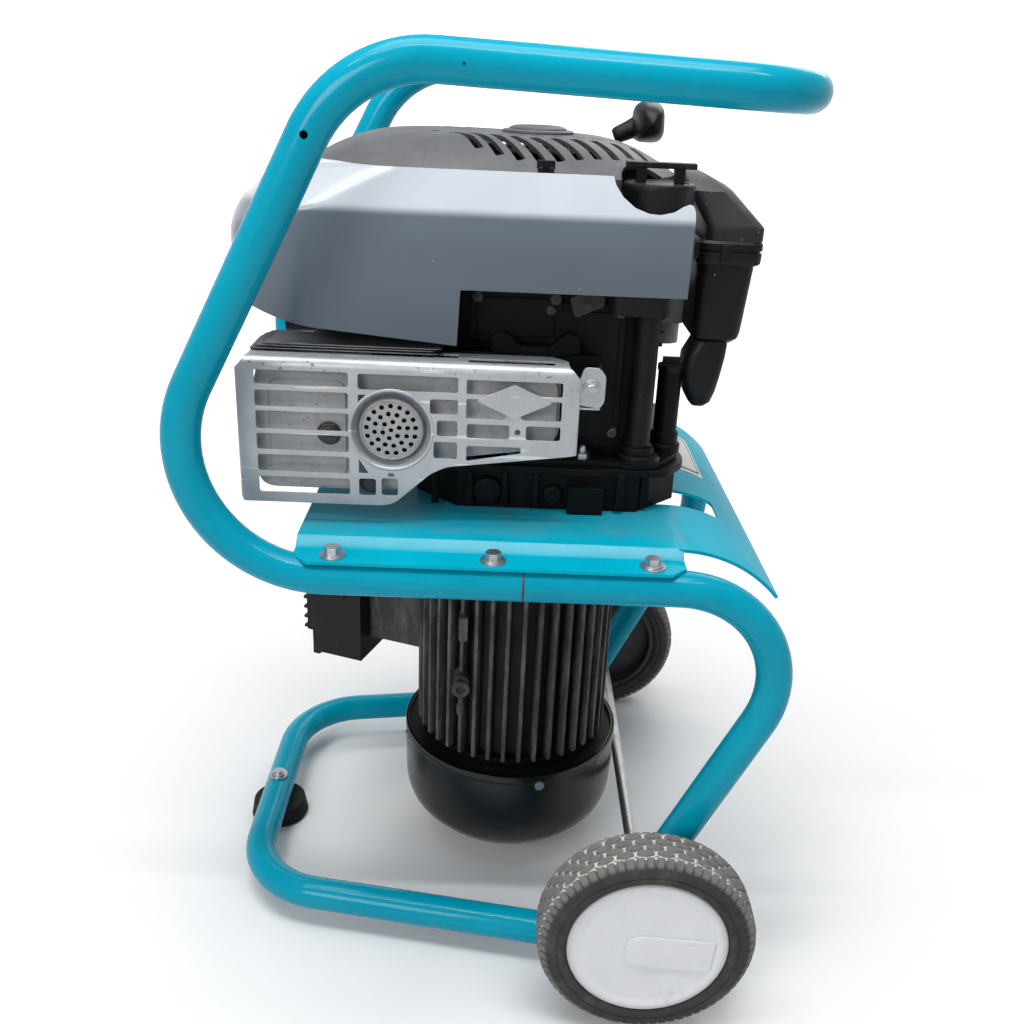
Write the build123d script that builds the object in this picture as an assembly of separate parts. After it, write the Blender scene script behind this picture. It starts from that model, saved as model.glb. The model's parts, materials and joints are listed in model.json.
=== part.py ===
from build123d import *
import math
import os

# A wheeled portable generator: a vertical-shaft petrol engine stands on a sheet-steel deck, an
# air-cooled alternator hangs under it, and a two-piece bent-tube frame carries both.
# Millimetres. +Z is up, -Y is the muffler side, +X is the wheel end. Everything is drawn with
# X = 0 near the middle, and the finished pieces are moved so that the origin is on the floor
# under the middle of the whole object.

# ---------------------------------------------------------------- frame
front_x = -262.5
rear_x = 276.5
frame_half_width = 220.0
tube_r = 16.0
tube_wall = 2.0
rail_z = 425.0
joint_x = 34.0
front_bend_r = 112.0
front_lean = 0.514
handle_left_z = 833.0
handle_right_z = 820.0
handle_end_x = 237.0
handle_bend_r = 100.0
handle_corner_r = 70.0
rear_bend_r = 92.0
rear_lean = 0.47
hoop_z = 36.0
hoop_front_x = -235.0
hoop_front_half_width = 160.0
hoop_rear_bend_r = 62.0
hoop_front_bend_r = 85.0
sleeve_length = 100.0

# ---------------------------------------------------------------- wheels, axle, foot
wheel_r = 100.0
wheel_width = 50.0
track_outer = 300.0
rim_r = 74.0
drum_r = 68.0
boss_r = 16.0
boss_outer_y = 283.0
boss_inner_y = 254.0
axle_r = 6.0
axle_half_length = 291.0
axle_z = wheel_r
running_gap = 0.05
side_gap = 0.3
foot_r = 32.5
foot_height = hoop_z - tube_r

# ---------------------------------------------------------------- deck
sheet = 3.0
flange_z = rail_z + tube_r
joggle = 8.0
deck_z = flange_z + joggle
deck_top = deck_z + sheet
deck_left_x = -161.0
flange_right_x = 172.0
flange_outer_y = 233.0
flange_inner_y = 204.0
deck_flat_y = 196.0
deck_bolt_x = (-127.0, 8.0, 143.0)
bolt_r = 4.0
bolt_hole_r = 4.5
washer_r = 11.0
washer_t = 2.0
apron_angle = 50.0

# ---------------------------------------------------------------- engine
crank_x = 34.0
sump_x0 = -68.0
sump_x1 = 178.0
sump_half_y = 118.0
sump_top = 500.0
case_x0 = -55.0
case_x1 = 150.0
case_half_y = 95.0
case_top = 655.0
shaft_r = 12.7
bore_axis_z = 586.0
bore_r = 32.0
stroke = 48.0
rod_length = 110.0
piston_gap = 0.05
barrel_end_x = -128.0
head_end_x = -165.0
flywheel_r = 92.0
mount_bolt_circle = 100.0
panel_y = -150.0
panel_t = 3.0
cover_eave_z = 750.0
cover_top_z = 775.0
muffler_x0 = -200.0
muffler_x1 = 58.0
muffler_z0 = 480.0
muffler_z1 = 592.0
muffler_face_y = -160.0
muffler_back_y = -120.0
guard_y = -172.0
guard_t = 1.5
outlet_x = -82.0
outlet_z = 536.0
outlet_r = 26.0
guard_hole_r = 32.0
fuel_cap_x = 134.0
fuel_cap_y = -114.0
dipstick_x = 165.0
dipstick_y = -75.0
dipstick_seat_z = 578.0
pull_exit = (112.0, 75.0, 768.0)
pull_bar_x = 143.0

# ---------------------------------------------------------------- alternator
fin_r = 105.0
barrel_r = 90.0
barrel_bore_r = 80.0
fin_count = 40
housing_z0 = 157.0
housing_z1 = 412.0
stator_z0 = 210.0
stator_z1 = 330.0
rotor_r = 53.5
cover_r = 118.0
cover_bottom_r = 97.0
cover_z0 = 44.0
cover_z1 = 148.0
cover_wall = 3.0
cover_screw_angles = (-75.0, 15.0, 105.0, 195.0)
cover_screw_z = 137.0

# ---------------------------------------------------------------- socket box, turned to the front left
socket_turn = 160.0
box_u0 = 156.0
box_u1 = 208.0
panel_u1 = 216.0
box_half_v = 65.0
box_z0 = 215.0
box_z1 = 350.0
socket_v = 31.0
socket_z = 262.0
socket_recess_r = 19.5
socket_recess_depth = 17.0
lid_hinge_u = 222.5
lid_hinge_z = 293.0
lid_pin_r = 1.5
button_z = 328.0
button_r = 5.0

SIDES = (-1, 1)


# ================================================================ helpers
def box(x0, x1, y0, y1, z0, z1):
    """A block between two opposite corners."""
    size = Box(x1 - x0, y1 - y0, z1 - z0)
    return Pos((x0 + x1) / 2, (y0 + y1) / 2, (z0 + z1) / 2) * size


def post(r, z0, z1, x=crank_x, y=0.0):
    """An upright cylinder."""
    return Pos(x, y, (z0 + z1) / 2) * Cylinder(r, z1 - z0)


def ring(r_out, r_in, z0, z1, x=crank_x, y=0.0):
    """An upright tube."""
    return post(r_out, z0, z1, x, y) - post(r_in, z0 - 1, z1 + 1, x, y)


def rod_y(r, y0, y1, x, z):
    """A cylinder along Y."""
    return Pos(x, (y0 + y1) / 2, z) * Rot(90, 0, 0) * Cylinder(r, y1 - y0)


def rod_x(r, x0, x1, y, z):
    """A cylinder along X."""
    return Pos((x0 + x1) / 2, y, z) * Rot(0, 90, 0) * Cylinder(r, x1 - x0)


def hex_head(across_flats, z0, z1, x, y):
    """A hexagon bolt head or nut."""
    outline = RegularPolygon(across_flats / 2, 6, major_radius=False)
    return Pos(x, y, z0) * extrude(outline, z1 - z0)


def rounded_block(x0, x1, y0, y1, z0, z1, r):
    """A block whose four upright edges are rounded."""
    outline = RectangleRounded(x1 - x0, y1 - y0, r)
    return Pos((x0 + x1) / 2, (y0 + y1) / 2, z0) * extrude(outline, z1 - z0)


def side_prism(points, y0, y1):
    """A profile drawn in X and Z, given thickness along Y."""
    face = make_face(Polyline(*[(x, y0, z) for x, z in points], close=True))
    return extrude(face, y1 - y0, dir=(0, 1, 0))


def bent_tube(points, radii):
    """A hollow tube along a route of straight runs and tangent arcs."""
    path = FilletPolyline(*points, radius=radii)
    start = Plane(origin=path @ 0, z_dir=path % 0)
    outer = sweep(start * Circle(tube_r), path=path)
    inner = sweep(start * Circle(tube_r - tube_wall), path=path)
    return outer - inner


def in_socket_frame(shape):
    """Places a shape drawn with +X outwards from the alternator axis at the socket box's angle."""
    return Pos(crank_x, 0, 0) * Rot(0, 0, socket_turn) * shape


# ================================================================ frame
front_turn = math.pi / 2 + math.atan(front_lean)
front_bend_x = front_x + tube_r + front_bend_r
front_corner_x = front_bend_x - front_bend_r * math.tan(front_turn / 2)
handle_corner_x = front_corner_x + front_lean * (handle_left_z - rail_z)
rear_turn = math.pi / 2 + math.atan(rear_lean)
rear_bend_x = rear_x - tube_r - rear_bend_r
rear_corner_x = rear_bend_x + rear_bend_r * math.tan(rear_turn / 2)
axle_x = rear_corner_x - rear_lean * (rail_z - axle_z)
hoop_corner_x = rear_corner_x - rear_lean * (rail_z - hoop_z)


def deck_bolt_holes():
    """Clearance holes for the deck bolts in the upper walls of the rails."""
    holes = [post(bolt_hole_r, rail_z, flange_z + 1, x, side * frame_half_width)
             for x in deck_bolt_x for side in SIDES]
    return Compound(holes)


def upper_frame_tube():
    """Rails, leaning front legs and the lifting handle, bent from one tube."""
    near = [
        (joint_x, -frame_half_width, rail_z),
        (front_corner_x, -frame_half_width, rail_z),
        (handle_corner_x, -frame_half_width, handle_left_z),
        (handle_end_x, -frame_half_width, handle_right_z),
    ]
    far = [(x, -y, z) for x, y, z in reversed(near)]
    radii = [front_bend_r, handle_bend_r, handle_corner_r]
    tube = bent_tube(near + far, radii + radii[::-1])
    grip_hole_z = 778.0
    grip_hole_x = handle_corner_x - front_lean * (handle_left_z - grip_hole_z)
    grip_hole = rod_y(3.0, -frame_half_width - tube_r - 1, -frame_half_width, grip_hole_x, grip_hole_z)
    return tube - deck_bolt_holes() - grip_hole


def lower_frame_tube():
    """Rear rails, wheel legs and the floor hoop, bent from one tube."""
    near = [
        (joint_x, -frame_half_width, rail_z),
        (rear_corner_x, -frame_half_width, rail_z),
        (hoop_corner_x, -frame_half_width, hoop_z),
        (hoop_front_x, -hoop_front_half_width, hoop_z),
    ]
    far = [(x, -y, z) for x, y, z in reversed(near)]
    radii = [rear_bend_r, hoop_rear_bend_r, hoop_front_bend_r]
    tube = bent_tube(near + far, radii + radii[::-1])
    axle_hole = rod_y(axle_r, -track_outer, track_outer, axle_x, axle_z)
    foot_hole = post(bolt_hole_r, 0, 2 * hoop_z, hoop_front_x, 0)
    return tube - deck_bolt_holes() - axle_hole - foot_hole


def joint_sleeves():
    """Inner sleeves that join the two tubes, one a side."""
    sleeves = []
    for side in SIDES:
        solid = rod_x(tube_r - tube_wall, joint_x - sleeve_length / 2, joint_x + sleeve_length / 2,
                      side * frame_half_width, rail_z)
        bore = rod_x(tube_r - 2 * tube_wall, joint_x - sleeve_length, joint_x + sleeve_length,
                     side * frame_half_width, rail_z)
        sleeves.append(solid - bore - deck_bolt_holes())
    return Compound(sleeves)


def deck_plate():
    """Sheet deck: joggled flanges on the rails and an apron curved down over the rear bend."""
    flat = box(deck_left_x, rear_bend_x, -deck_flat_y, deck_flat_y, deck_z, deck_top)
    deck = flat
    for side in SIDES:
        step = [
            (flange_outer_y, flange_z),
            (flange_inner_y, flange_z),
            (deck_flat_y, deck_z),
            (deck_flat_y, deck_top),
            (flange_inner_y + 1, flange_z + sheet),
            (flange_outer_y, flange_z + sheet),
        ]
        outline = Polyline(*[(deck_left_x, side * y, z) for y, z in step], close=True)
        flange = extrude(make_face(outline), flange_right_x - deck_left_x, dir=(1, 0, 0))
        corner = 14.0
        for x, inward in ((deck_left_x, 1), (flange_right_x, -1)):
            cut = Polyline(
                (x - inward, side * (flange_outer_y + 1), flange_z - 1),
                (x + inward * corner, side * (flange_outer_y + 1), flange_z - 1),
                (x - inward, side * (flange_outer_y - corner), flange_z - 1),
                close=True,
            )
            flange -= extrude(make_face(cut), sheet + 2, dir=(0, 0, 1))
        deck += flange
    apron_r = deck_top - (rail_z - rear_bend_r)
    apron_y = frame_half_width - tube_r - 6
    apron = rod_y(apron_r, -apron_y, apron_y, rear_bend_x, rail_z - rear_bend_r)
    apron -= rod_y(apron_r - sheet, -apron_y - 1, apron_y + 1, rear_bend_x, rail_z - rear_bend_r)
    sector = math.radians(apron_angle)
    reach = 3 * apron_r
    centre_z = rail_z - rear_bend_r
    wedge = side_prism(
        [
            (rear_bend_x, centre_z),
            (rear_bend_x, centre_z + reach),
            (rear_bend_x + reach * math.sin(sector), centre_z + reach * math.cos(sector)),
        ],
        -apron_y - 1, apron_y + 1,
    )
    deck += apron & wedge
    window = rounded_block(140, 222, -96, -54, 380, deck_top + 1, 6)
    shaft_hole = post(60, deck_z - 1, deck_top + 1)
    deck = deck - window - shaft_hole - engine_bolt_holes() - deck_bolt_clearance()
    for side in SIDES:
        y = side * frame_half_width
        bend = Pos(front_bend_x, y, rail_z + front_bend_r) * Rot(90, 0, 0) * Torus(front_bend_r, tube_r)
        rising_half = box(front_bend_x - 60, front_bend_x, y - 20, y + 20, rail_z, deck_top + 1)
        deck -= bend & rising_half
    return deck


def deck_bolt_clearance():
    """Holes in the deck flanges for the deck bolts."""
    holes = [post(bolt_hole_r, flange_z - 1, flange_z + sheet + 1, x, side * frame_half_width)
             for x in deck_bolt_x for side in SIDES]
    return Compound(holes)


def deck_bolts():
    """Six flanged hexagon bolts with washers, holding the deck to the rails."""
    pieces = []
    seat = flange_z + sheet
    for x in deck_bolt_x:
        for side in SIDES:
            y = side * frame_half_width
            washer = ring(washer_r, bolt_r, seat, seat + washer_t, x, y)
            bolt = post(bolt_r, rail_z + tube_r - 12, seat + washer_t, x, y)
            bolt += post(8.5, seat + washer_t, seat + washer_t + 1.5, x, y)
            bolt += hex_head(12, seat + washer_t + 1.5, seat + washer_t + 7, x, y)
            pieces += [washer, bolt]
    return Compound(pieces)


# ================================================================ wheels, axle, foot
def axle():
    """Plain steel rod through both wheel legs."""
    return rod_y(axle_r, -axle_half_length, axle_half_length, axle_x, axle_z)


def axle_retainers():
    """A spacer sleeve inside each wheel, a washer and a push-on clip outside it."""
    pieces = []
    inner_y = frame_half_width + tube_r
    spans = (
        (9.0, inner_y, boss_inner_y - side_gap),
        (11.0, boss_outer_y + side_gap, boss_outer_y + side_gap + washer_t),
        (9.0, boss_outer_y + side_gap + washer_t, boss_outer_y + side_gap + washer_t + 3),
    )
    bore = rod_y(axle_r, -track_outer, track_outer, axle_x, axle_z)
    for side in SIDES:
        for r, y0, y1 in spans:
            low, high = sorted((side * y0, side * y1))
            pieces.append(rod_y(r, low, high, axle_x, axle_z) - bore)
    return Compound(pieces)


def spun(profile, side):
    """Turns a radius and distance-from-centre profile about the axle."""
    outline = Polyline(*[(axle_x + r, side * y, axle_z) for r, y in profile], close=True)
    spin_axis = Axis((axle_x, 0, axle_z), (0, 1, 0))
    return revolve(make_face(outline), spin_axis, 360)


def tyre(side):
    """Solid rubber tyre with rounded shoulders."""
    inner_y = track_outer - wheel_width
    profile = [
        (rim_r, inner_y + 2),
        (rim_r + 3, inner_y),
        (wheel_r - 12, inner_y),
        (wheel_r - 4, inner_y + 3),
        (wheel_r, inner_y + 9),
        (wheel_r, track_outer - 9),
        (wheel_r - 4, track_outer - 3),
        (wheel_r - 12, track_outer),
        (rim_r + 3, track_outer),
        (rim_r, track_outer - 2),
    ]
    return spun(profile, side)


def rim(side):
    """Moulded rim: drum, web and hub boss with a running bore."""
    drum = spun([(drum_r, 254), (rim_r, 254), (rim_r, 296), (drum_r, 296)], side)
    web = spun([(boss_r - 1, 270), (drum_r + 1, 270), (drum_r + 1, 276), (boss_r - 1, 276)], side)
    bore = axle_r + running_gap
    boss = spun([(bore, boss_inner_y), (boss_r, boss_inner_y), (boss_r, boss_outer_y),
                 (bore, boss_outer_y)], side)
    return drum + web + boss


def hub_cap(side):
    """Flat disc that snaps into the rim's outer face on a skirt."""
    disc = spun([(0, 296), (rim_r - 0.5, 296), (rim_r - 0.5, 297.5), (rim_r - 2.5, 299), (0, 299)], side)
    skirt = spun([(63, 286), (drum_r, 286), (drum_r, 296), (63, 296)], side)
    return disc + skirt


def rubber_foot():
    """Round rubber foot under the middle of the hoop."""
    profile = [(0, 0), (foot_r - 2, 0), (foot_r, 3), (foot_r - 3, foot_height), (0, foot_height)]
    outline = Polyline(*[(hoop_front_x + r, 0, z) for r, z in profile], close=True)
    foot = revolve(make_face(outline), Axis((hoop_front_x, 0, 0), (0, 0, 1)), 360)
    return foot - post(bolt_r, 7, foot_height + 1, hoop_front_x, 0)


def foot_bolt():
    """Button-head bolt and washer through the hoop into the foot."""
    top = hoop_z + tube_r
    bolt = post(bolt_r, 7, top + washer_t, hoop_front_x, 0)
    bolt += post(7.5, top + washer_t, top + washer_t + 3, hoop_front_x, 0)
    bolt += post(5, top + washer_t + 3, top + washer_t + 4.5, hoop_front_x, 0)
    washer = ring(10, bolt_r, top, top + washer_t, hoop_front_x, 0)
    return Compound([bolt, washer])


# ================================================================ engine castings
def mount_bolt_places():
    """Four bolt places on a circle round the crankshaft."""
    return [(crank_x + mount_bolt_circle * math.cos(math.radians(a)),
             mount_bolt_circle * math.sin(math.radians(a))) for a in (45, 135, 225, 315)]


def engine_bolt_holes():
    """Clearance for the bolts that clamp alternator, deck and sump together."""
    return Compound([post(bolt_hole_r, 430, 470, x, y) for x, y in mount_bolt_places()])


def engine_bolts():
    """Four hexagon bolts, put in from below."""
    bolts = []
    for x, y in mount_bolt_places():
        bolts.append(post(bolt_r, 437, 466, x, y) + hex_head(13, 429, 437, x, y))
    return Compound(bolts)


def sump():
    """Oil sump with ribs, a bottom spigot and the lower main bearing."""
    corner = 40.0
    outline = Polyline(
        (sump_x0 + corner, -sump_half_y), (sump_x1 - corner, -sump_half_y),
        (sump_x1, -sump_half_y + corner), (sump_x1, sump_half_y - corner),
        (sump_x1 - corner, sump_half_y), (sump_x0 + corner, sump_half_y),
        (sump_x0, sump_half_y - corner), (sump_x0, -sump_half_y + corner), close=True,
    )
    body = Pos(0, 0, deck_top) * extrude(make_face(outline), sump_top - deck_top)
    cavity = Pos(0, 0, deck_top + 8) * extrude(offset(make_face(outline), -16), sump_top - deck_top)
    body -= cavity
    body += post(34, deck_top, sump_top)
    body += post(44, 442, deck_top)
    body += box(74, 106, -sump_half_y - 12, -sump_half_y + 1, deck_top, deck_top + 26)
    body -= post(shaft_r + running_gap, 400, sump_top + 1)
    body -= Compound([post(bolt_hole_r, 440, 468, x, y) for x, y in mount_bolt_places()])
    return body


def crankcase():
    """Crankcase with its finned cylinder, open at the bottom on to the sump."""
    body = rounded_block(case_x0, case_x1, -case_half_y, case_half_y, sump_top, case_top, 14)
    barrel = rod_x(bore_r + 8, barrel_end_x, case_x0 + 2, 0, bore_axis_z)
    body += barrel
    for i in range(7):
        x = barrel_end_x + 10.0 * i
        body += box(x, x + 3, -72, 72, 532, 640)
    body += box(barrel_end_x, case_x0 + 1, -8, 8, 532, 640)
    chamber = rounded_block(case_x0 + 12, case_x1 - 10, 12 - case_half_y, case_half_y - 12,
                            sump_top - 1, case_top - 12, 6)
    body -= chamber
    body -= rod_x(bore_r, barrel_end_x - 1, crank_x, 0, bore_axis_z)
    body -= post(shaft_r + running_gap, case_top - 20, case_top + 1)
    return body


def cylinder_head():
    """Finned cylinder head with a plug boss."""
    head = box(head_end_x + 22, barrel_end_x, -70, 70, 534, 638)
    for i in range(11):
        z = 534 + 10.0 * i
        head += box(head_end_x, head_end_x + 23, -68, 68, z, z + 3.5)
    boss = rod_x(11, head_end_x, barrel_end_x, 30, bore_axis_z)
    return head + boss


def piston():
    """Piston at the top of its stroke, with two ring grooves."""
    pin_x = crank_x - stroke / 2 - rod_length
    crown_x = pin_x - 25
    body = rod_x(bore_r - piston_gap, crown_x, pin_x + 20, 0, bore_axis_z)
    for x in (crown_x + 5, crown_x + 10):
        body -= rod_x(bore_r + 1, x, x + 2, 0, bore_axis_z) - rod_x(bore_r - 3, x - 1, x + 3, 0, bore_axis_z)
    body -= rod_x(bore_r - 6, crown_x + 15, pin_x + 21, 0, bore_axis_z)
    return body


def crankshaft():
    """Vertical crankshaft with two webs and a crank pin."""
    pin_x = crank_x - stroke / 2
    shaft = post(shaft_r, 300, 572)
    shaft += post(shaft_r, 600, 744)
    shaft += post(40, 560, 572)
    shaft += post(40, 600, 612)
    shaft += post(14, 572, 600, pin_x, 0)
    return shaft


def flywheel():
    """Flywheel with cast cooling vanes and a starter cup."""
    wheel = post(flywheel_r, 690, 706)
    wheel += post(30, 706, 730)
    wheel += ring(36, 26, 729, 744)
    for i in range(16):
        vane = box(52, flywheel_r - 2, -1.75, 1.75, 705, 728)
        wheel += Pos(crank_x, 0, 0) * Rot(0, 0, 22.5 * i) * vane
    return wheel - post(shaft_r, 680, 731)


# ================================================================ covers
def housing_block(inset):
    """Solid envelope of the blower housing: straight sides and a sloping roof."""
    x0, x1, y0, y1, corner = -150.0, 158.0, -145.0, 125.0, 108.0
    middle = ((x0 + x1) / 2, (y0 + y1) / 2)
    plan = RectangleRounded(x1 - x0 - 2 * inset, y1 - y0 - 2 * inset, corner - inset)
    low = case_top + 8 - (1 if inset else 0)
    block = Pos(*middle, low) * extrude(plan, cover_eave_z - low)
    rise = cover_top_z - cover_eave_z - inset
    block += Pos(*middle, cover_eave_z) * extrude(plan, rise, taper=58)
    pocket_r = 36.0 + inset
    return block - post(pocket_r, 600, 800, fuel_cap_x, fuel_cap_y)


def blower_housing():
    """Blower housing: a shell with louvres, the starter post and a pocket for the fuel cap."""
    shell = housing_block(0) - housing_block(3)
    for i in range(28):
        slot = box(58, 80, -2.75, 2.75, cover_eave_z, cover_top_z + 5)
        shell -= Pos(crank_x, 0, 0) * Rot(0, 0, 360 / 28 * i) * slot
    shell -= box(98, 151, -150, -58, 600, 702)
    rope_hole = Pos(*pull_exit) * Rot(0, 90, 0) * Cylinder(5, 60)
    return shell + post(5, 748, cover_top_z - 2) - rope_hole


def starter_cap():
    """Shallow round cap over the recoil starter."""
    return post(33, cover_top_z, cover_top_z + 4) + post(26, cover_top_z + 4, cover_top_z + 7)


def starter_reel():
    """Grooved reel that the starter rope winds on."""
    reel = post(38, 749, 751) + post(32, 751, 757) + post(38, 757, 759)
    return reel - post(5 + running_gap, 740, 770)


def starter_grip():
    """Pull handle: a thick cross bar on a tapered neck."""
    x, y, z = pull_exit
    bar_z = z + 18
    bar = Pos(pull_bar_x, y, bar_z) * Rot(90, 0, 0) * extrude(RectangleRounded(33, 38, 12), 42, both=True)
    neck_start = Vector(x + 12, y, z + 5)
    neck_end = Vector(pull_bar_x, y, bar_z)
    along = neck_end - neck_start
    plane = Plane(origin=neck_start, z_dir=along)
    neck = extrude(plane * Circle(8.5), along.length)
    return bar + neck


def starter_rope():
    """The short length of rope between the housing and the grip."""
    x, y, z = pull_exit
    start = Vector(x, y, z)
    end = Vector(x + 12, y, z + 5)
    along = end - start
    return extrude(Plane(origin=start, z_dir=along) * Circle(2.25), along.length)


def engine_shroud():
    """Side cover: a near side panel that wraps round the nose on to the far side."""
    nose_x = -234.0
    far_y = 132.0
    corner = 88.0
    centre = ((nose_x + 161) / 2, (panel_y + far_y) / 2)
    outer = Pos(*centre) * RectangleRounded(161 - nose_x, far_y - panel_y, corner)
    inner = Pos(*centre) * RectangleRounded(161 - nose_x - 2 * panel_t, far_y - panel_y - 2 * panel_t,
                                            corner - panel_t)
    wall = Pos(0, 0, 612) * extrude(outer - inner, cover_eave_z - 612)
    wall += box(40, 161, panel_y, panel_y + panel_t, 612, cover_eave_z)
    wall -= box(161 - corner - 20, 200, panel_y + panel_t, 200, 600, 800)
    wall -= box(-60, 200, 60, 200, 600, 800)
    wall -= side_prism([(-27, 600), (-27, 658), (200, 658), (200, 600)], -200, 0)
    wall -= side_prism([(-260, 600), (-260, 640), (-20, 611)], -200, 200)
    scoop = rod_y(38, -200, -100, fuel_cap_x - 6, 766)
    wall -= scoop
    wall -= box(fuel_cap_x, 200, -200, -100, 740, 800)
    return wall


def heat_shield():
    """Folded tray between the muffler and the side cover."""
    tray = box(-205, -42, -152, -98, 602, 604)
    return tray + box(-200, -48, -150, -100, 604, 607)


# ================================================================ muffler
def muffler_body():
    """Pressed muffler can with its inlet stub."""
    width = muffler_x1 - muffler_x0
    height = muffler_z1 - muffler_z0
    middle = ((muffler_x0 + muffler_x1) / 2, (muffler_z0 + muffler_z1) / 2)
    depth = muffler_back_y - muffler_face_y
    base = Plane(origin=(middle[0], muffler_back_y, middle[1]), x_dir=(1, 0, 0), z_dir=(0, -1, 0))
    can = extrude(base * RectangleRounded(width, height, 20), depth)
    inner_base = Plane(origin=(middle[0], muffler_back_y - 2, middle[1]), x_dir=(1, 0, 0), z_dir=(0, -1, 0))
    can -= extrude(inner_base * RectangleRounded(width - 4, height - 4, 18), depth - 4)
    can -= rod_y(outlet_r - 4, muffler_face_y - 1, muffler_face_y + 3, outlet_x, outlet_z)
    inlet = rod_y(15, muffler_back_y, -case_half_y, -20, 570)
    return can + inlet


def muffler_outlet():
    """Perforated outlet cup."""
    front = muffler_face_y - 11
    cup = rod_y(outlet_r, front, muffler_face_y, outlet_x, outlet_z)
    cup -= rod_y(outlet_r - 1.5, front + 1.5, muffler_face_y + 1, outlet_x, outlet_z)
    for ring_r, count in ((6, 4), (13, 9), (20, 14)):
        for i in range(count):
            angle = 2 * math.pi * i / count
            x = outlet_x + ring_r * math.cos(angle)
            z = outlet_z + ring_r * math.sin(angle)
            cup -= rod_y(1.9, front - 1, front + 2, x, z)
    return cup


def muffler_guard():
    """Pressed guard: a slotted front, a rolled top edge and two side returns."""
    x0, x1 = -213.0, 76.0
    top, low = 592.0, 470.0
    roll_r = 8.0
    y_front, y_back = guard_y, guard_y + guard_t
    outline = [
        (x0, low), (-67, low), (-50, 474), (-22, 494), (0, 501), (60, 507), (x1, 520), (x1, top), (x0, top),
    ]
    plate = side_prism(outline, y_front, y_back)
    bars = (low + 5, 496, 514, 534, 553, 573, top)
    bar_height = 4.0
    for z0, z1 in zip(bars[:-1], bars[1:]):
        z1 -= bar_height
        plate -= box(x0 + 9, -117, y_front - 1, y_back + 1, z0, z1)
        if z0 < 490:
            plate -= box(-109, -64, y_front - 1, y_back + 1, z0 + 6, z1)
        else:
            plate -= box(-109, -25, y_front - 1, y_back + 1, z0 + 2, z1)
        if z0 > 500:
            plate -= box(-18, 64, y_front - 1, y_back + 1, z0 + 1, z1)
    plate += rod_y(guard_hole_r + 9, y_front, y_back, outlet_x, outlet_z)
    plate += side_prism([(23, 532), (48, 552), (23, 572), (-2, 552)], y_front, y_back)
    plate -= rod_y(guard_hole_r, y_front - 1, y_back + 1, outlet_x, outlet_z)
    roll = rod_x(roll_r, x0, x1, y_front + roll_r, top)
    roll -= rod_x(roll_r - guard_t, x0 - 1, x1 + 1, y_front + roll_r, top)
    roll &= box(x0, x1, y_front, y_front + roll_r, top, top + roll_r)
    flange = box(x0, x1, y_front + roll_r, -132, top + roll_r - guard_t, top + roll_r)
    for x in (-200, -100, 0):
        flange -= box(x, x + 60, -158, -146, top, top + 10)
    left = box(x0, x0 + guard_t, y_front, -140, low, top)
    for z0, z1 in zip(bars[:-1], bars[1:]):
        left -= box(x0 - 1, x0 + 3, -166, -148, z0, z1 - bar_height)
    right = box(x1 - guard_t, x1, y_front, -158, 522, top)
    return plate + roll + flange + left + right


def guard_bracket():
    """Zinc bracket that carries the guard's right end from the crankcase."""
    x1 = 100.0
    tab = box(76, x1, -161, -159, 550, 592)
    web = box(x1 - 2, x1, -159, -case_half_y, 556, 586)
    return tab + web - rod_y(3.5, -162, -158, 88, 571)


def guard_screws():
    """The bracket bolt, two muffler bolts and the nut on the sump stud."""
    pieces = [rod_y(6.5, -167, -161, 88, 571) + rod_y(3.5, -161, -154, 88, 571)]
    for x, z in ((-128, 535), (-102, 487)):
        pieces.append(rod_y(8, muffler_face_y - 6, muffler_face_y, x, z))
    pieces.append(hex_head(13, sump_top, sump_top + 10, 88, 10 - sump_half_y))
    return Compound(pieces)


# ================================================================ fuel, air and oil
def fuel_tank():
    """Moulded tank with a filler neck, and the leg that carries it from the sump."""
    tank_z0, tank_z1 = 640.0, 700.0
    tank = rounded_block(100, 149, -145, -60, tank_z0, tank_z1, 8)
    tank -= post(110, tank_z0 - 1, tank_z1 + 1)
    tank -= box(0, case_x1 + 2, -case_half_y - 2, 0, 600, case_top + 2)
    hollow = rounded_block(103, 146, -142, -98, tank_z0 + 3, tank_z1 - 3, 6)
    hollow -= post(113, tank_z0, tank_z1)
    neck = post(15, tank_z1 - 1, 716, fuel_cap_x, fuel_cap_y)
    opening = post(12, tank_z1 - 10, 717, fuel_cap_x, fuel_cap_y)
    leg = post(11, sump_top, tank_z0 + 1, 136, -107)
    return tank - hollow + neck + leg - opening


def fuel_cap():
    """Round cap with a skirt, two posts and a cross bar to turn it by."""
    x, y = fuel_cap_x, fuel_cap_y
    cap = post(31, 718, 746, x, y) - post(27, 717, 742, x, y)
    cap += post(11.6, 712, 743, x, y)
    for side in SIDES:
        cap += box(x + side * 16 - 4, x + side * 16 + 4, y - 3, y + 3, 745, 758)
    return cap + box(x - 29, x + 29, y - 6, y + 6, 757, 762)


def air_cleaner_base():
    """Lower half of the air cleaner: a tapering canister and its intake snorkel."""
    outer = [(181, 601), (223, 601), (231, 683), (181, 683)]
    inner = [(184, 604), (220, 604), (228, 684), (184, 684)]
    base = side_prism(outer, -86, 14) - side_prism(inner, -83, 11)
    base += box(181, 235, -90, 18, 679, 688) - box(183, 228, -83, 11, 678, 689)
    snorkel = [(182, 562), (199, 544), (213, 558), (217, 602), (182, 602)]
    return base + side_prism(snorkel, -84, -46)


def air_cleaner_cover():
    """Upper half of the air cleaner, with a sloping roof."""
    outer = [(161, 689), (234, 689), (234, 710), (180, 750), (161, 754)]
    inner = [(164, 688), (231, 688), (231, 708), (179, 747), (164, 750)]
    return side_prism(outer, -88, 40) - side_prism(inner, -85, 37)


def air_filter():
    """Pleated filter block inside the canister."""
    return box(187, 218, -79, 7, 612, 676)


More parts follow.
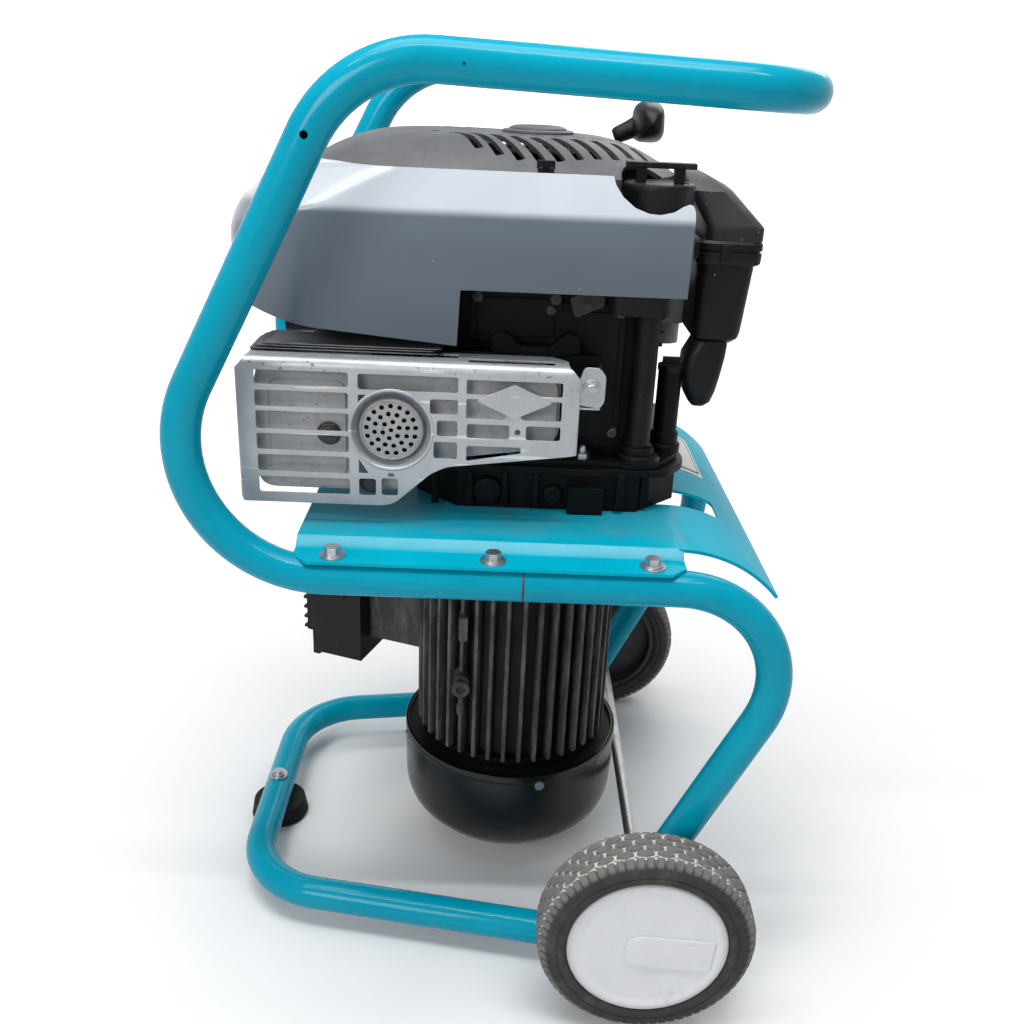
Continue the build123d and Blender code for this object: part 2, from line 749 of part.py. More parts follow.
def carburettor():
    """Carburettor between crankcase and air cleaner."""
    body = box(case_x1, 180, -22, 22, 610, 645)
    body += post(15, 588, 611, 166, 0)
    return body - rod_x(11, case_x1 - 1, 181, 0, 628)


def oil_filler_neck():
    """Upright filler tower on the sump."""
    tower = post(11, sump_top, dipstick_seat_z, dipstick_x, dipstick_y)
    return tower - post(5, sump_top - 1, dipstick_seat_z + 1, dipstick_x, dipstick_y)


def dipstick():
    """Filler plug with a finger grip and a long gauge blade."""
    x, y, z = dipstick_x, dipstick_y, dipstick_seat_z
    plug = post(12, z + 0.3, z + 5, x, y) + post(4.8, z - 14, z + 1, x, y)
    plug += box(x - 8, x + 8, y - 2.5, y + 2.5, z + 4, z + 12)
    return plug + box(x - 2.5, x + 2.5, y - 0.6, y + 0.6, z - 76, z - 13)


def spark_plug_boot():
    """Spark plug with its moulded boot."""
    y = 30.0
    plug = rod_x(7, head_end_x - 12, head_end_x, y, bore_axis_z)
    boot = rod_x(10, head_end_x - 44, head_end_x - 12, y, bore_axis_z)
    return plug + boot


# ================================================================ alternator
def alternator_flange():
    """Upper end shield: bolts to the deck and spigots the stator housing."""
    plate = post(114, 437, deck_z) - post(44.5, 430, deck_z + 1)
    skirt = ring(88, 74, housing_z1, 438)
    spigot = ring(barrel_bore_r - 0.1, 70, housing_z1 - 10, housing_z1 + 1)
    return plate + skirt + spigot - engine_bolt_holes()


def alternator_housing():
    """Finned stator housing with the two lugs on its near side."""
    fin = Pos((barrel_r + fin_r) / 2 - 1, 0) * Rectangle(fin_r - barrel_r + 2, 4)
    outline = Circle(barrel_r)
    for i in range(fin_count):
        outline += Rot(0, 0, 360 / fin_count * (i + 0.5)) * fin
    housing = Pos(crank_x, 0, housing_z0) * extrude(outline, housing_z1 - housing_z0)
    housing -= in_socket_frame(box(70, fin_r + 5, -43, 43, 233, 347))
    housing += post(barrel_r, housing_z0, housing_z1)
    pad = box(crank_x - 58, crank_x - 49, -fin_r + 8, -70, 296, 322)
    lug = Pos(crank_x - 54, -88, 248) * Rot(90, 0, 0) * Cylinder(8, 20)
    housing += pad + lug
    return housing - post(barrel_bore_r, housing_z0 - 1, housing_z1 + 1)


def lower_endshield():
    """Lower end shield with the bearing seat and a ring that carries the fan cover."""
    shield = post(fin_r - 5, housing_z0 - 8, housing_z0)
    shield += ring(fin_r - 5, fin_r - 12, 126, housing_z0)
    shield += ring(cover_r - cover_wall - 0.2, fin_r - 12, 126, 143)
    shield += post(34, 137, housing_z0)
    for i in range(8):
        angle = math.radians(45 * i)
        shield -= post(15, 130, 170, crank_x + 64 * math.cos(angle), 64 * math.sin(angle))
    shield -= post(26, 130, 151)
    shield -= post(15, 130, 170)
    for angle in cover_screw_angles:
        hole = Pos(100, 0, 0) * Rot(0, 90, 0) * Cylinder(2.6, 60)
        shield -= Pos(crank_x, 0, cover_screw_z) * Rot(0, 0, angle) * hole
    return shield


def shaft_bearings():
    """Ball bearing in the lower end shield and the oil seal ring above the crankcase."""
    bearing = ring(26, shaft_r + running_gap, 137, 151)
    seal = ring(24, shaft_r + running_gap, case_top, case_top + 5)
    return Compound([bearing, seal])


def stator_core():
    """Laminated stator core with winding slots."""
    outline = Circle(barrel_bore_r - 0.1) - Circle(rotor_r + 1)
    for i in range(24):
        outline -= Rot(0, 0, 15 * i) * Pos(63, 0) * Rectangle(12, 6)
    return Pos(crank_x, 0, stator_z0) * extrude(outline, stator_z1 - stator_z0)


def stator_windings():
    """Copper end windings above and below the core."""
    upper = ring(72, 57, stator_z1, stator_z1 + 24)
    lower = ring(72, 57, stator_z0 - 24, stator_z0)
    return Compound([upper, lower])


def rotor():
    """Rotor with its lower stub shaft and the socket that takes the crankshaft."""
    body = post(rotor_r, stator_z0 - 4, stator_z1 + 4)
    body += post(shaft_r, 62, stator_z0)
    body += post(24, stator_z1, 372)
    for i in range(4):
        body -= Pos(crank_x, 0, 0) * Rot(0, 0, 90 * i) * box(44, 60, -7, 7, 200, 340)
    return body - post(shaft_r, 300, 380)


def cooling_fan():
    """Radial cooling fan on the lower end of the rotor shaft."""
    fan = post(22, 76, 124) + post(88, 121, 124)
    for i in range(9):
        blade = box(20, 88, -1.25, 1.25, 84, 122)
        fan += Pos(crank_x, 0, 0) * Rot(0, 0, 40 * i) * blade
    return fan - post(shaft_r, 70, 130)


def bowl(r_top, r_low, z0, z1):
    """Solid of a bowl that is straight above its shoulder and rounds in to its floor."""
    shoulder_z = z0 + 52
    side = Spline((r_top, shoulder_z), (r_low + 12, z0 + 13), (r_low, z0),
                  tangents=((0, -1), (-0.8, -1)))
    outline = side + Polyline((r_low, z0), (0, z0), (0, z1), (r_top, z1), (r_top, shoulder_z))
    face = Plane.XZ * make_face(outline)
    return Pos(crank_x, 0, 0) * revolve(face, Axis.Z, 360)


def fan_cover():
    """Bowl-shaped fan cover with a slotted floor."""
    cover = bowl(cover_r, cover_bottom_r, cover_z0, cover_z1)
    cover -= bowl(cover_r - cover_wall, cover_bottom_r - cover_wall, cover_z0 + cover_wall, cover_z1 + 1)
    for i in range(24):
        slot = box(30, 78, -3, 3, cover_z0 - 1, cover_z0 + cover_wall + 1)
        cover -= Pos(crank_x, 0, 0) * Rot(0, 0, 15 * i) * slot
    for angle in cover_screw_angles:
        hole = Pos(100, 0, 0) * Rot(0, 90, 0) * Cylinder(2.6, 60)
        cover -= Pos(crank_x, 0, cover_screw_z) * Rot(0, 0, angle) * hole
    return cover


def fan_cover_screws():
    """Four screws through the rim of the fan cover."""
    screws = []
    for angle in cover_screw_angles:
        screw = Pos(cover_r - 6, 0, 0) * Rot(0, 90, 0) * Cylinder(2.5, 14)
        screw += Pos(cover_r + 1.5, 0, 0) * Rot(0, 90, 0) * Cylinder(5, 3)
        screws.append(Pos(crank_x, 0, cover_screw_z) * Rot(0, 0, angle) * screw)
    return Compound(screws)


# ================================================================ socket box
def terminal_adaptor():
    """Hollow block between the stator housing and the socket box."""
    block = box(barrel_r - 5, box_u0, -42, 42, 235, 345) - box(barrel_r - 6, box_u0 + 1, -36, 36, 241, 339)
    cleared = in_socket_frame(block) - post(barrel_r + 0.1, 200, 400)
    return cleared


def socket_box():
    """Open-fronted box with a knock-out on each side."""
    wall = 3.0
    body = box(box_u0, box_u1, -box_half_v, box_half_v, box_z0, box_z1)
    body -= box(box_u0 + wall, box_u1 + 1, wall - box_half_v, box_half_v - wall, box_z0 + wall, box_z1 - wall)
    body -= box(box_u0 - 1, box_u0 + 5, -36, 36, 241, 339)
    body += rod_y(9, box_half_v, box_half_v + 2, 184, 292)
    return in_socket_frame(body)


def socket_panel():
    """Front panel with two socket openings, a button hole and the lid hinge pins."""
    panel = box(box_u1, panel_u1, -box_half_v, box_half_v, box_z0 - 3, box_z1 + 3)
    for side in SIDES:
        v = side * socket_v
        panel -= rod_x(24.5, box_u1 - 1, panel_u1 + 1, v, socket_z)
        for ear in SIDES:
            y = v + ear * 29
            panel += box(panel_u1 - 1, lid_hinge_u + 3, y - 1.5, y + 1.5, lid_hinge_z - 4, lid_hinge_z + 4)
        panel += rod_y(lid_pin_r, v - 30, v + 30, lid_hinge_u, lid_hinge_z)
    panel -= rod_x(button_r + 0.3, box_u1 - 1, panel_u1 + 3, 0, button_z)
    return in_socket_frame(panel)


def socket_inserts():
    """Two round socket inserts, each with a plug recess and two contact holes."""
    inserts = []
    front = panel_u1 + 1.5
    for side in SIDES:
        v = side * socket_v
        body = rod_x(24.5, box_u1 - 14, front, v, socket_z)
        body += rod_x(26.5, panel_u1, front, v, socket_z)
        body -= rod_x(socket_recess_r, front - socket_recess_depth, front + 1, v, socket_z)
        for pin in SIDES:
            body -= rod_x(2.5, front - socket_recess_depth - 4, front, v + pin * 9.5, socket_z)
        inserts.append(in_socket_frame(body))
    return Compound(inserts)


def socket_lid(side):
    """Ribbed spring lid with its hinge barrel."""
    v = side * socket_v
    back = panel_u1 + 2.0
    lid = box(back, back + 5, v - 26, v + 26, 236, lid_hinge_z - 3)
    lid += box(back, lid_hinge_u, v - 26, v + 26, lid_hinge_z - 4, lid_hinge_z)
    lid += rod_y(4, v - 26, v + 26, lid_hinge_u, lid_hinge_z)
    for i in range(4):
        z = 238 + 12.0 * i
        lid += box(back + 4, back + 13, v - 26, v + 26, z, z + 3)
    lid += box(back + 4, back + 9, v - 26, v + 26, 236, 280)
    lid -= rod_y(lid_pin_r + running_gap, v - 30, v + 30, lid_hinge_u, lid_hinge_z)
    return in_socket_frame(lid)


def breaker_button():
    """Reset button of the circuit breaker."""
    button = rod_x(button_r, box_u1 - 3, panel_u1 + 6, 0, button_z)
    return in_socket_frame(button + rod_x(button_r + 2, box_u1 - 6, box_u1 - 3, 0, button_z))


# ================================================================ all parts
PARTS = {
    "upper_frame_tube": upper_frame_tube,
    "lower_frame_tube": lower_frame_tube,
    "joint_sleeves": joint_sleeves,
    "deck_plate": deck_plate,
    "deck_bolts": deck_bolts,
    "axle": axle,
    "axle_retainers": axle_retainers,
    "rubber_foot": rubber_foot,
    "foot_bolt": foot_bolt,
    "engine_bolts": engine_bolts,
    "sump": sump,
    "crankcase": crankcase,
    "cylinder_head": cylinder_head,
    "piston": piston,
    "crankshaft": crankshaft,
    "flywheel": flywheel,
    "blower_housing": blower_housing,
    "starter_cap": starter_cap,
    "starter_reel": starter_reel,
    "starter_grip": starter_grip,
    "starter_rope": starter_rope,
    "engine_shroud": engine_shroud,
    "heat_shield": heat_shield,
    "muffler_body": muffler_body,
    "muffler_outlet": muffler_outlet,
    "muffler_guard": muffler_guard,
    "guard_bracket": guard_bracket,
    "guard_screws": guard_screws,
    "fuel_tank": fuel_tank,
    "fuel_cap": fuel_cap,
    "air_cleaner_base": air_cleaner_base,
    "air_cleaner_cover": air_cleaner_cover,
    "air_filter": air_filter,
    "carburettor": carburettor,
    "oil_filler_neck": oil_filler_neck,
    "dipstick": dipstick,
    "spark_plug_boot": spark_plug_boot,
    "alternator_flange": alternator_flange,
    "alternator_housing": alternator_housing,
    "lower_endshield": lower_endshield,
    "shaft_bearings": shaft_bearings,
    "stator_core": stator_core,
    "stator_windings": stator_windings,
    "rotor": rotor,
    "cooling_fan": cooling_fan,
    "fan_cover": fan_cover,
    "fan_cover_screws": fan_cover_screws,
    "terminal_adaptor": terminal_adaptor,
    "socket_box": socket_box,
    "socket_panel": socket_panel,
    "socket_inserts": socket_inserts,
    "breaker_button": breaker_button,
}


def main():
    """Builds every piece and writes one STEP file for each."""
    os.makedirs("parts", exist_ok=True)
    pieces = {name: build() for name, build in PARTS.items()}
    for side, word in ((-1, "near"), (1, "far")):
        pieces[word + "_tyre"] = tyre(side)
        pieces[word + "_rim"] = rim(side)
        pieces[word + "_hub_cap"] = hub_cap(side)
        pieces[word + "_socket_lid"] = socket_lid(-side)
    middle_x = (front_x + rear_x) / 2
    for name, piece in pieces.items():
        placed = Pos(-middle_x, 0, 0) * piece
        placed.label = name
        export_step(placed, f"parts/{name}.step")


main()
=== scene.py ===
"""Looks of the wheeled portable generator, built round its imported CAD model.

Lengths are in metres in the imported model's frame. Sizes inside a shape are often written in millimetres and
turned into metres by place() or MM. Places start from the boxes of the CAD nodes.
"""

import json
import math

import bmesh
import bpy
from mathutils import Matrix, Vector
from mathutils.geometry import delaunay_2d_cdt


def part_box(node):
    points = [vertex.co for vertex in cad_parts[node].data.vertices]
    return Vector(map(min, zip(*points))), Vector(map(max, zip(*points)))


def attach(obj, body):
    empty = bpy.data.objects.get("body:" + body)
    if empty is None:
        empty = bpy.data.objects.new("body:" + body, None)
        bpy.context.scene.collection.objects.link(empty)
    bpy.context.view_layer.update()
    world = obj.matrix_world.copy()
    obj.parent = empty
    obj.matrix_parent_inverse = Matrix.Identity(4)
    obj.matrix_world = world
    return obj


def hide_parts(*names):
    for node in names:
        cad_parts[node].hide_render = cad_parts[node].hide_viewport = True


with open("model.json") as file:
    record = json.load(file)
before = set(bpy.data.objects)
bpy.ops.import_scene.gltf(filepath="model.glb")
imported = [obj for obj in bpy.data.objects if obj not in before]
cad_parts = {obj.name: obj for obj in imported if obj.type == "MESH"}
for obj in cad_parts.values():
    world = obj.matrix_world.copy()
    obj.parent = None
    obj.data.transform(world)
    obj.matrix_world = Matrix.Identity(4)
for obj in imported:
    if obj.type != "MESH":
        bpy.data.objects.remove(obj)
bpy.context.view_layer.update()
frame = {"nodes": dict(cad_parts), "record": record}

MM = 0.001
PI = math.pi
SHARP_EDGE = 35.0


def middle(node):
    """Middle of a CAD node's box."""
    low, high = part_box(node)
    return (low + high) / 2


# The CAD drawing puts its X = 0 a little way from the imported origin. The crankshaft gives the shift.
CRANK_DRAWN_X = 34.0
SHIFT = middle("flywheel").x / MM - CRANK_DRAWN_X


def place(x, y, z):
    """A point of the CAD drawing, in millimetres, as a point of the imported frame, in metres."""
    return Vector(((x + SHIFT) * MM, y * MM, z * MM))


# ---------------------------------------------------------------- materials
def tint(red, green, blue):
    """A screen colour, 0 to 255, as the linear colour that a shader takes."""
    linear = []
    for part in (red, green, blue):
        part /= 255
        linear.append(part / 12.92 if part <= 0.04045 else ((part + 0.055) / 1.055) ** 2.4)
    return (*linear, 1.0)


class Finish:
    """A node material under construction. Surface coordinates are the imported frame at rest."""

    def __init__(self, name, rough=0.5, metal=0.0, coat=0.0, coat_rough=0.05, specular=0.5):
        self.material = bpy.data.materials.new(name)
        self.material.use_nodes = True
        self.tree = self.material.node_tree
        self.shader = self.tree.nodes["Principled BSDF"]
        self.shader.inputs["Roughness"].default_value = rough
        self.shader.inputs["Metallic"].default_value = metal
        self.shader.inputs["Coat Weight"].default_value = coat
        self.shader.inputs["Coat Roughness"].default_value = coat_rough
        self.shader.inputs["Specular IOR Level"].default_value = specular
        self.coords = self.tree.nodes.new("ShaderNodeTexCoord").outputs["Object"]
        self.geometry = self.tree.nodes.new("ShaderNodeNewGeometry")

    def feed(self, socket, value):
        """Links a socket to another one, or sets its value."""
        if isinstance(value, bpy.types.NodeSocket):
            self.tree.links.new(value, socket)
        else:
            socket.default_value = value

    def math(self, operation, a, b=0.0):
        """One arithmetic step on numbers."""
        node = self.tree.nodes.new("ShaderNodeMath")
        node.operation = operation
        node.use_clamp = operation in ("ADD", "MULTIPLY", "SUBTRACT")
        self.feed(node.inputs[0], a)
        self.feed(node.inputs[1], b)
        return node.outputs[0]

    def times(self, a, b):
        """A product of two strengths."""
        return self.math("MULTIPLY", a, b)

    def band(self, value, low, high):
        """0 at low, 1 at high, smooth between them."""
        node = self.tree.nodes.new("ShaderNodeMapRange")
        node.interpolation_type = "SMOOTHSTEP"
        self.feed(node.inputs["Value"], value)
        node.inputs["From Min"].default_value = low
        node.inputs["From Max"].default_value = high
        return node.outputs["Result"]

    def spread(self, value, low, high):
        """A 0 to 1 value stretched to run from low to high."""
        node = self.tree.nodes.new("ShaderNodeMapRange")
        self.feed(node.inputs["Value"], value)
        node.inputs["To Min"].default_value = low
        node.inputs["To Max"].default_value = high
        return node.outputs["Result"]

    def stretched(self, stretch):
        """Surface coordinates scaled by axis, for grain and scratches."""
        node = self.tree.nodes.new("ShaderNodeMapping")
        self.feed(node.inputs["Vector"], self.coords)
        node.inputs["Scale"].default_value = stretch
        return node.outputs["Vector"]

    def noise(self, scale, detail=4.0, rough=0.55, stretch=None):
        """Cloudy noise, 0 to 1."""
        node = self.tree.nodes.new("ShaderNodeTexNoise")
        self.feed(node.inputs["Vector"], self.stretched(stretch) if stretch else self.coords)
        node.inputs["Scale"].default_value = scale
        node.inputs["Detail"].default_value = detail
        node.inputs["Roughness"].default_value = rough
        return node.outputs["Fac"]

    def specks(self, scale, size, share):
        """Small scattered spots, in a share of the cells of a random net."""
        node = self.tree.nodes.new("ShaderNodeTexVoronoi")
        self.feed(node.inputs["Vector"], self.coords)
        node.inputs["Scale"].default_value = scale
        spot = self.band(node.outputs["Distance"], size, size * 0.45)
        pick = self.tree.nodes.new("ShaderNodeSeparateColor")
        self.feed(pick.inputs[0], node.outputs["Color"])
        chosen = self.band(pick.outputs[0], 1.0 - share, 1.0 - share + 0.01)
        return self.times(spot, chosen)

    def scratches(self, scale, stretch, amount=0.66):
        """Short thin marks that run one way."""
        return self.band(self.noise(scale, 2.0, 0.5, stretch=stretch), amount, amount + 0.05)

    def away_from(self, centre, keep):
        """Distance from a point, on the axes that keep leaves in."""
        node = self.tree.nodes.new("ShaderNodeVectorMath")
        node.operation = "SUBTRACT"
        self.feed(node.inputs[0], self.coords)
        node.inputs[1].default_value = centre
        scaled = self.tree.nodes.new("ShaderNodeVectorMath")
        scaled.operation = "MULTIPLY"
        self.feed(scaled.inputs[0], node.outputs["Vector"])
        scaled.inputs[1].default_value = keep
        length = self.tree.nodes.new("ShaderNodeVectorMath")
        length.operation = "LENGTH"
        self.feed(length.inputs[0], scaled.outputs["Vector"])
        return length.outputs["Value"]

    def minus(self, a, b):
        """A subtraction that may go below zero."""
        node = self.tree.nodes.new("ShaderNodeMath")
        node.operation = "SUBTRACT"
        self.feed(node.inputs[0], a)
        self.feed(node.inputs[1], b)
        return node.outputs[0]

    def mix(self, factor, a, b):
        """Colour a turning into colour b."""
        node = self.tree.nodes.new("ShaderNodeMix")
        node.data_type = "RGBA"
        self.feed(node.inputs["Factor"], factor)
        self.feed(node.inputs["A"], a)
        self.feed(node.inputs["B"], b)
        return node.outputs["Result"]

    def along(self, axis):
        """One surface coordinate: 0, 1 or 2 for X, Y or Z."""
        node = self.tree.nodes.new("ShaderNodeSeparateXYZ")
        self.feed(node.inputs[0], self.coords)
        return node.outputs[axis]

    def facing_up(self):
        """1 on surfaces that look up, where dust settles."""
        node = self.tree.nodes.new("ShaderNodeSeparateXYZ")
        self.feed(node.inputs[0], self.geometry.outputs["Normal"])
        return self.band(node.outputs[2], 0.1, 0.95)

    def soft_normal(self, radius):
        """The surface direction with its edges rounded off."""
        node = self.tree.nodes.new("ShaderNodeBevel")
        node.samples = 4
        node.inputs["Radius"].default_value = radius
        return node.outputs["Normal"]

    def worn_edges(self, radius):
        """1 along sharp edges, fading over the radius."""
        node = self.tree.nodes.new("ShaderNodeVectorMath")
        node.operation = "DOT_PRODUCT"
        self.feed(node.inputs[0], self.soft_normal(radius))
        self.feed(node.inputs[1], self.geometry.outputs["Normal"])
        return self.band(node.outputs["Value"], 0.995, 0.86)

    def bump(self, height, distance, strength=1.0, normal=None):
        """A bump from a height, on top of an earlier normal."""
        node = self.tree.nodes.new("ShaderNodeBump")
        node.inputs["Strength"].default_value = strength
        node.inputs["Distance"].default_value = distance
        self.feed(node.inputs["Height"], height)
        if normal is not None:
            self.feed(node.inputs["Normal"], normal)
        return node.outputs["Normal"]

    def done(self, colour, rough, normal):
        """Connects the finished layers to the shader."""
        self.feed(self.shader.inputs["Base Color"], colour)
        self.feed(self.shader.inputs["Roughness"], rough)
        self.feed(self.shader.inputs["Normal"], normal)
        return self.material


def teal_paint(name="teal_paint", dust=0.0):
    """Gloss enamel with faint orange peel, scuffs, dirt and a few chips. Dust settles on the deck behind."""
    dusty = dust > 0
    f = Finish(name, coat=0.08 if dusty else 0.2, coat_rough=0.04, specular=0.03 if dusty else 0.06)
    if dusty:
        colour = f.mix(f.noise(14, 3), tint(0, 142, 165), tint(0, 164, 189))
    else:
        colour = f.mix(f.noise(14, 3), tint(0, 128, 152), tint(0, 150, 176))
    scuff = f.times(f.band(f.noise(30, 6, 0.7), 0.64, 0.8), 0.12)
    colour = f.mix(scuff, colour, tint(30, 160, 186))
    chips = f.specks(95, 0.17, 0.03)
    colour = f.mix(chips, colour, tint(18, 30, 34))
    dirt = f.times(f.band(f.noise(55, 5, 0.65), 0.56, 0.8), 0.2)
    colour = f.mix(dirt, colour, tint(0, 84, 100))
    rough = f.spread(f.noise(40, 5), 0.16, 0.34)
    if dusty:
        top = f.band(f.along(2), 451.3 * MM, 451.8 * MM)
        behind = f.band(f.along(1), -196 * MM, -168 * MM)
        settled = f.times(f.times(top, behind), f.band(f.noise(16, 6, 0.7), 0.36, 0.62))
        colour = f.mix(f.times(settled, dust), colour, tint(96, 128, 134))
        rough = f.spread(f.noise(40, 5), 0.3, 0.6)
    normal = f.soft_normal(0.9 * MM)
    normal = f.bump(f.noise(260, 2), 0.05 * MM, 0.5, normal)
    normal = f.bump(f.minus(1.0, chips), 0.12 * MM, 0.8, normal)
    return f.done(colour, rough, normal)


def plated(name, dark, light, low=0.25, high=0.5, grain=None, stain=0.3):
    """Bright metal with mottled plating, fine grain and dull stains."""
    f = Finish(name, metal=1.0)
    colour = f.mix(f.noise(60, 5, 0.6), dark, light)
    patch = f.times(f.band(f.noise(120, 6, 0.7), 0.55, 0.72), stain)
    colour = f.mix(patch, colour, tint(72, 62, 52))
    rough = f.spread(f.noise(90, 5), low, high)
    lines = f.noise(120, 4, 0.6, stretch=grain or (1, 1, 1))
    normal = f.bump(lines, 0.04 * MM, 0.5, f.soft_normal(0.5 * MM))
    return f.done(colour, rough, normal)


def cast(name, dark, light, dusty, dust=0.5, edge=0.35, low=0.45, high=0.8, grit=0.12, specular=0.4):
    """Sand-cast metal: gritty, with dust on ledges and paler worn edges."""
    f = Finish(name, specular=specular)
    colour = f.mix(f.noise(35, 6, 0.65), dark, light)
    settled = f.times(f.facing_up(), f.spread(f.noise(70, 6, 0.7), 0.0, dust))
    colour = f.mix(settled, colour, dusty)
    worn = f.times(f.worn_edges(1.2 * MM), f.spread(f.noise(160, 4), 0.0, edge))
    colour = f.mix(worn, colour, dusty)
    rough = f.spread(f.noise(45, 5), low, high)
    normal = f.bump(f.noise(420, 4, 0.6), grit * MM, 0.6, f.soft_normal(1.0 * MM))
    normal = f.bump(f.noise(60, 3), 0.3 * MM, 0.25, normal)
    return f.done(colour, rough, normal)


def moulded(name, dark, light, dusty, dust=0.3, low=0.35, high=0.6, specked=False,
            grain=0.04, specular=0.45):
    """Moulded plastic with a fine texture, dust and small pale specks."""
    f = Finish(name, specular=specular)
    colour = f.mix(f.noise(25, 4), dark, light)
    settled = f.times(f.facing_up(), f.spread(f.noise(50, 6, 0.7), 0.0, dust))
    colour = f.mix(settled, colour, dusty)
    hair = f.times(f.scratches(180, (1.0, 0.06, 0.5)), 0.2)
    colour = f.mix(hair, colour, dusty)
    if specked:
        spots = f.specks(150, 0.12, 0.06)
        colour = f.mix(spots, colour, tint(205, 203, 200))
    rough = f.spread(f.noise(45, 5), low, high)
    normal = f.bump(f.noise(900, 2), grain * MM, 0.4, f.soft_normal(0.9 * MM))
    return f.done(colour, rough, normal)


def shroud_plastic():
    """Blue-grey gloss moulding, slightly wavy, with dust specks, a painted highlight on the roof and painted
    shade low down.
    """
    f = Finish("shroud_plastic", coat=0.5, coat_rough=0.16, specular=0.3)
    colour = f.mix(f.noise(9, 3), tint(88, 97, 107), tint(100, 109, 119))
    # Painted highlight: the roof above the crease is painted lighter, standing in for the overhead light that
    # falls on it.
    roof = f.times(f.band(f.along(2), 714 * MM, 723 * MM), f.spread(f.noise(14, 4), 0.6, 0.8))
    colour = f.mix(roof, colour, tint(196, 200, 207))
    colour = f.mix(f.specks(140, 0.07, 0.05), colour, tint(222, 224, 226))
    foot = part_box("engine_shroud")[0].z
    shade = f.times(f.band(f.along(2), foot + 60 * MM, foot), 0.35)
    colour = f.mix(shade, colour, tint(66, 74, 84))
    rough = f.spread(f.noise(30, 2), 0.26, 0.32)
    normal = f.bump(f.noise(5, 1), 1.2 * MM, 0.25, f.soft_normal(0.8 * MM))
    normal = f.bump(f.noise(220, 2), 0.02 * MM, 0.25, normal)
    return f.done(colour, rough, normal)


def tyre_rubber():
    """Rubber: dusty grey on the tread with near-white grooves, dark on the side wall."""
    f = Finish("tyre_rubber", specular=0.25)
    low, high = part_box("near_tyre")
    centre = (low + high) / 2
    radius = (high.z - low.z) / 2
    reach = f.away_from(centre, (1, 0, 1))
    across = f.minus(f.math("ABSOLUTE", f.along(1)), abs(centre.y))
    across = f.math("ABSOLUTE", across)
    colour = f.mix(f.noise(60, 6, 0.65), tint(40, 38, 38), tint(64, 61, 60))
    wall_dust = f.times(f.band(f.noise(32, 6, 0.7), 0.45, 0.78), 0.35)
    colour = f.mix(wall_dust, colour, tint(104, 101, 98))
    dusty = f.mix(f.noise(90, 6, 0.7), tint(86, 84, 82), tint(136, 134, 131))
    tread = f.band(reach, radius - 9.5 * MM, radius - 5.5 * MM)
    tread = f.times(tread, f.spread(f.noise(24, 4), 0.72, 1.0))
    colour = f.mix(tread, colour, dusty)
    sunk = f.times(f.band(reach, radius - 1.3 * MM, radius - 2.5 * MM),
                  f.band(across, 16.8 * MM, 15.2 * MM))
    sunk = f.times(sunk, f.spread(f.noise(50, 4), 0.6, 1.0))
    colour = f.mix(sunk, colour, tint(222, 220, 216))
    rough = f.spread(f.noise(80, 5), 0.75, 0.97)
    normal = f.bump(f.noise(700, 4, 0.7), 0.12 * MM, 0.7)
    return f.done(colour, rough, normal)


def hub_cap_plastic():
    """Pale grey moulding with faint scuffs and grime, darker towards its rim."""
    f = Finish("hub_cap_plastic", specular=0.45)
    colour = f.mix(f.noise(20, 5), tint(200, 202, 204), tint(216, 217, 219))
    for stretch in ((1.0, 1.0, 0.05), (0.05, 1.0, 1.0)):
        hair = f.times(f.scratches(150, stretch, 0.69), 0.3)
        colour = f.mix(hair, colour, tint(172, 174, 176))
    low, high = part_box("near_hub_cap")
    reach = f.away_from((low + high) / 2, (1, 0, 1))
    rim = f.band(reach, (high.z - low.z) / 2 - 9 * MM, (high.z - low.z) / 2)
    grime = f.times(f.band(f.noise(55, 6, 0.75), 0.55, 0.8), 0.3)
    colour = f.mix(grime, colour, tint(160, 160, 159))
    # Darker towards the rim.
    colour = f.mix(f.times(rim, 0.5), colour, tint(140, 141, 142))
    rough = f.spread(f.noise(60, 5), 0.3, 0.5)
    normal = f.bump(f.noise(300, 4, 0.7), 0.05 * MM, 0.5, f.soft_normal(0.8 * MM))
    return f.done(colour, rough, normal)


def guard_steel():
    """Plated sheet with pitting along its top, rub marks and soot low down."""
    f = Finish("guard_steel", metal=0.5, specular=0.5)
    colour = f.mix(f.noise(30, 6, 0.65), tint(146, 150, 154), tint(194, 197, 200))
    low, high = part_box("muffler_guard")
    height = f.along(2)
    upper = f.band(height, high.z - 30 * MM, high.z - 2 * MM)
    pits = f.band(f.noise(190, 5, 0.7), 0.60, 0.68)
    pits = f.times(pits, f.spread(upper, 0.1, 0.9))
    colour = f.mix(pits, colour, tint(52, 48, 46))
    soot = f.times(f.band(height, low.z + 40 * MM, low.z), f.noise(40, 5, 0.7))
    colour = f.mix(f.times(soot, 0.5), colour, tint(112, 113, 116))
    rub = f.times(f.scratches(170, (0.06, 1.0, 1.0), 0.64), 0.5)
    colour = f.mix(rub, colour, tint(232, 233, 234))
    rough = f.spread(f.noise(70, 6, 0.7), 0.28, 0.55)
    normal = f.bump(f.noise(260, 5, 0.7), 0.1 * MM, 0.5, f.soft_normal(0.7 * MM))
    return f.done(colour, rough, normal)


def muffler_steel():
    """Silvery sheet with dull heat stains."""
    f = Finish("muffler_steel", metal=0.5)
    colour = f.mix(f.noise(22, 6, 0.7), tint(132, 132, 133), tint(180, 180, 181))
    stain = f.band(f.noise(48, 6, 0.75), 0.52, 0.78)
    colour = f.mix(f.times(stain, 0.5), colour, tint(92, 86, 80))
    colour = f.mix(f.specks(260, 0.22, 0.12), colour, tint(56, 50, 46))
    rough = f.spread(f.noise(60, 6, 0.7), 0.4, 0.7)
    normal = f.bump(f.noise(200, 5, 0.7), 0.12 * MM, 0.6, f.soft_normal(1.2 * MM))
    return f.done(colour, rough, normal)


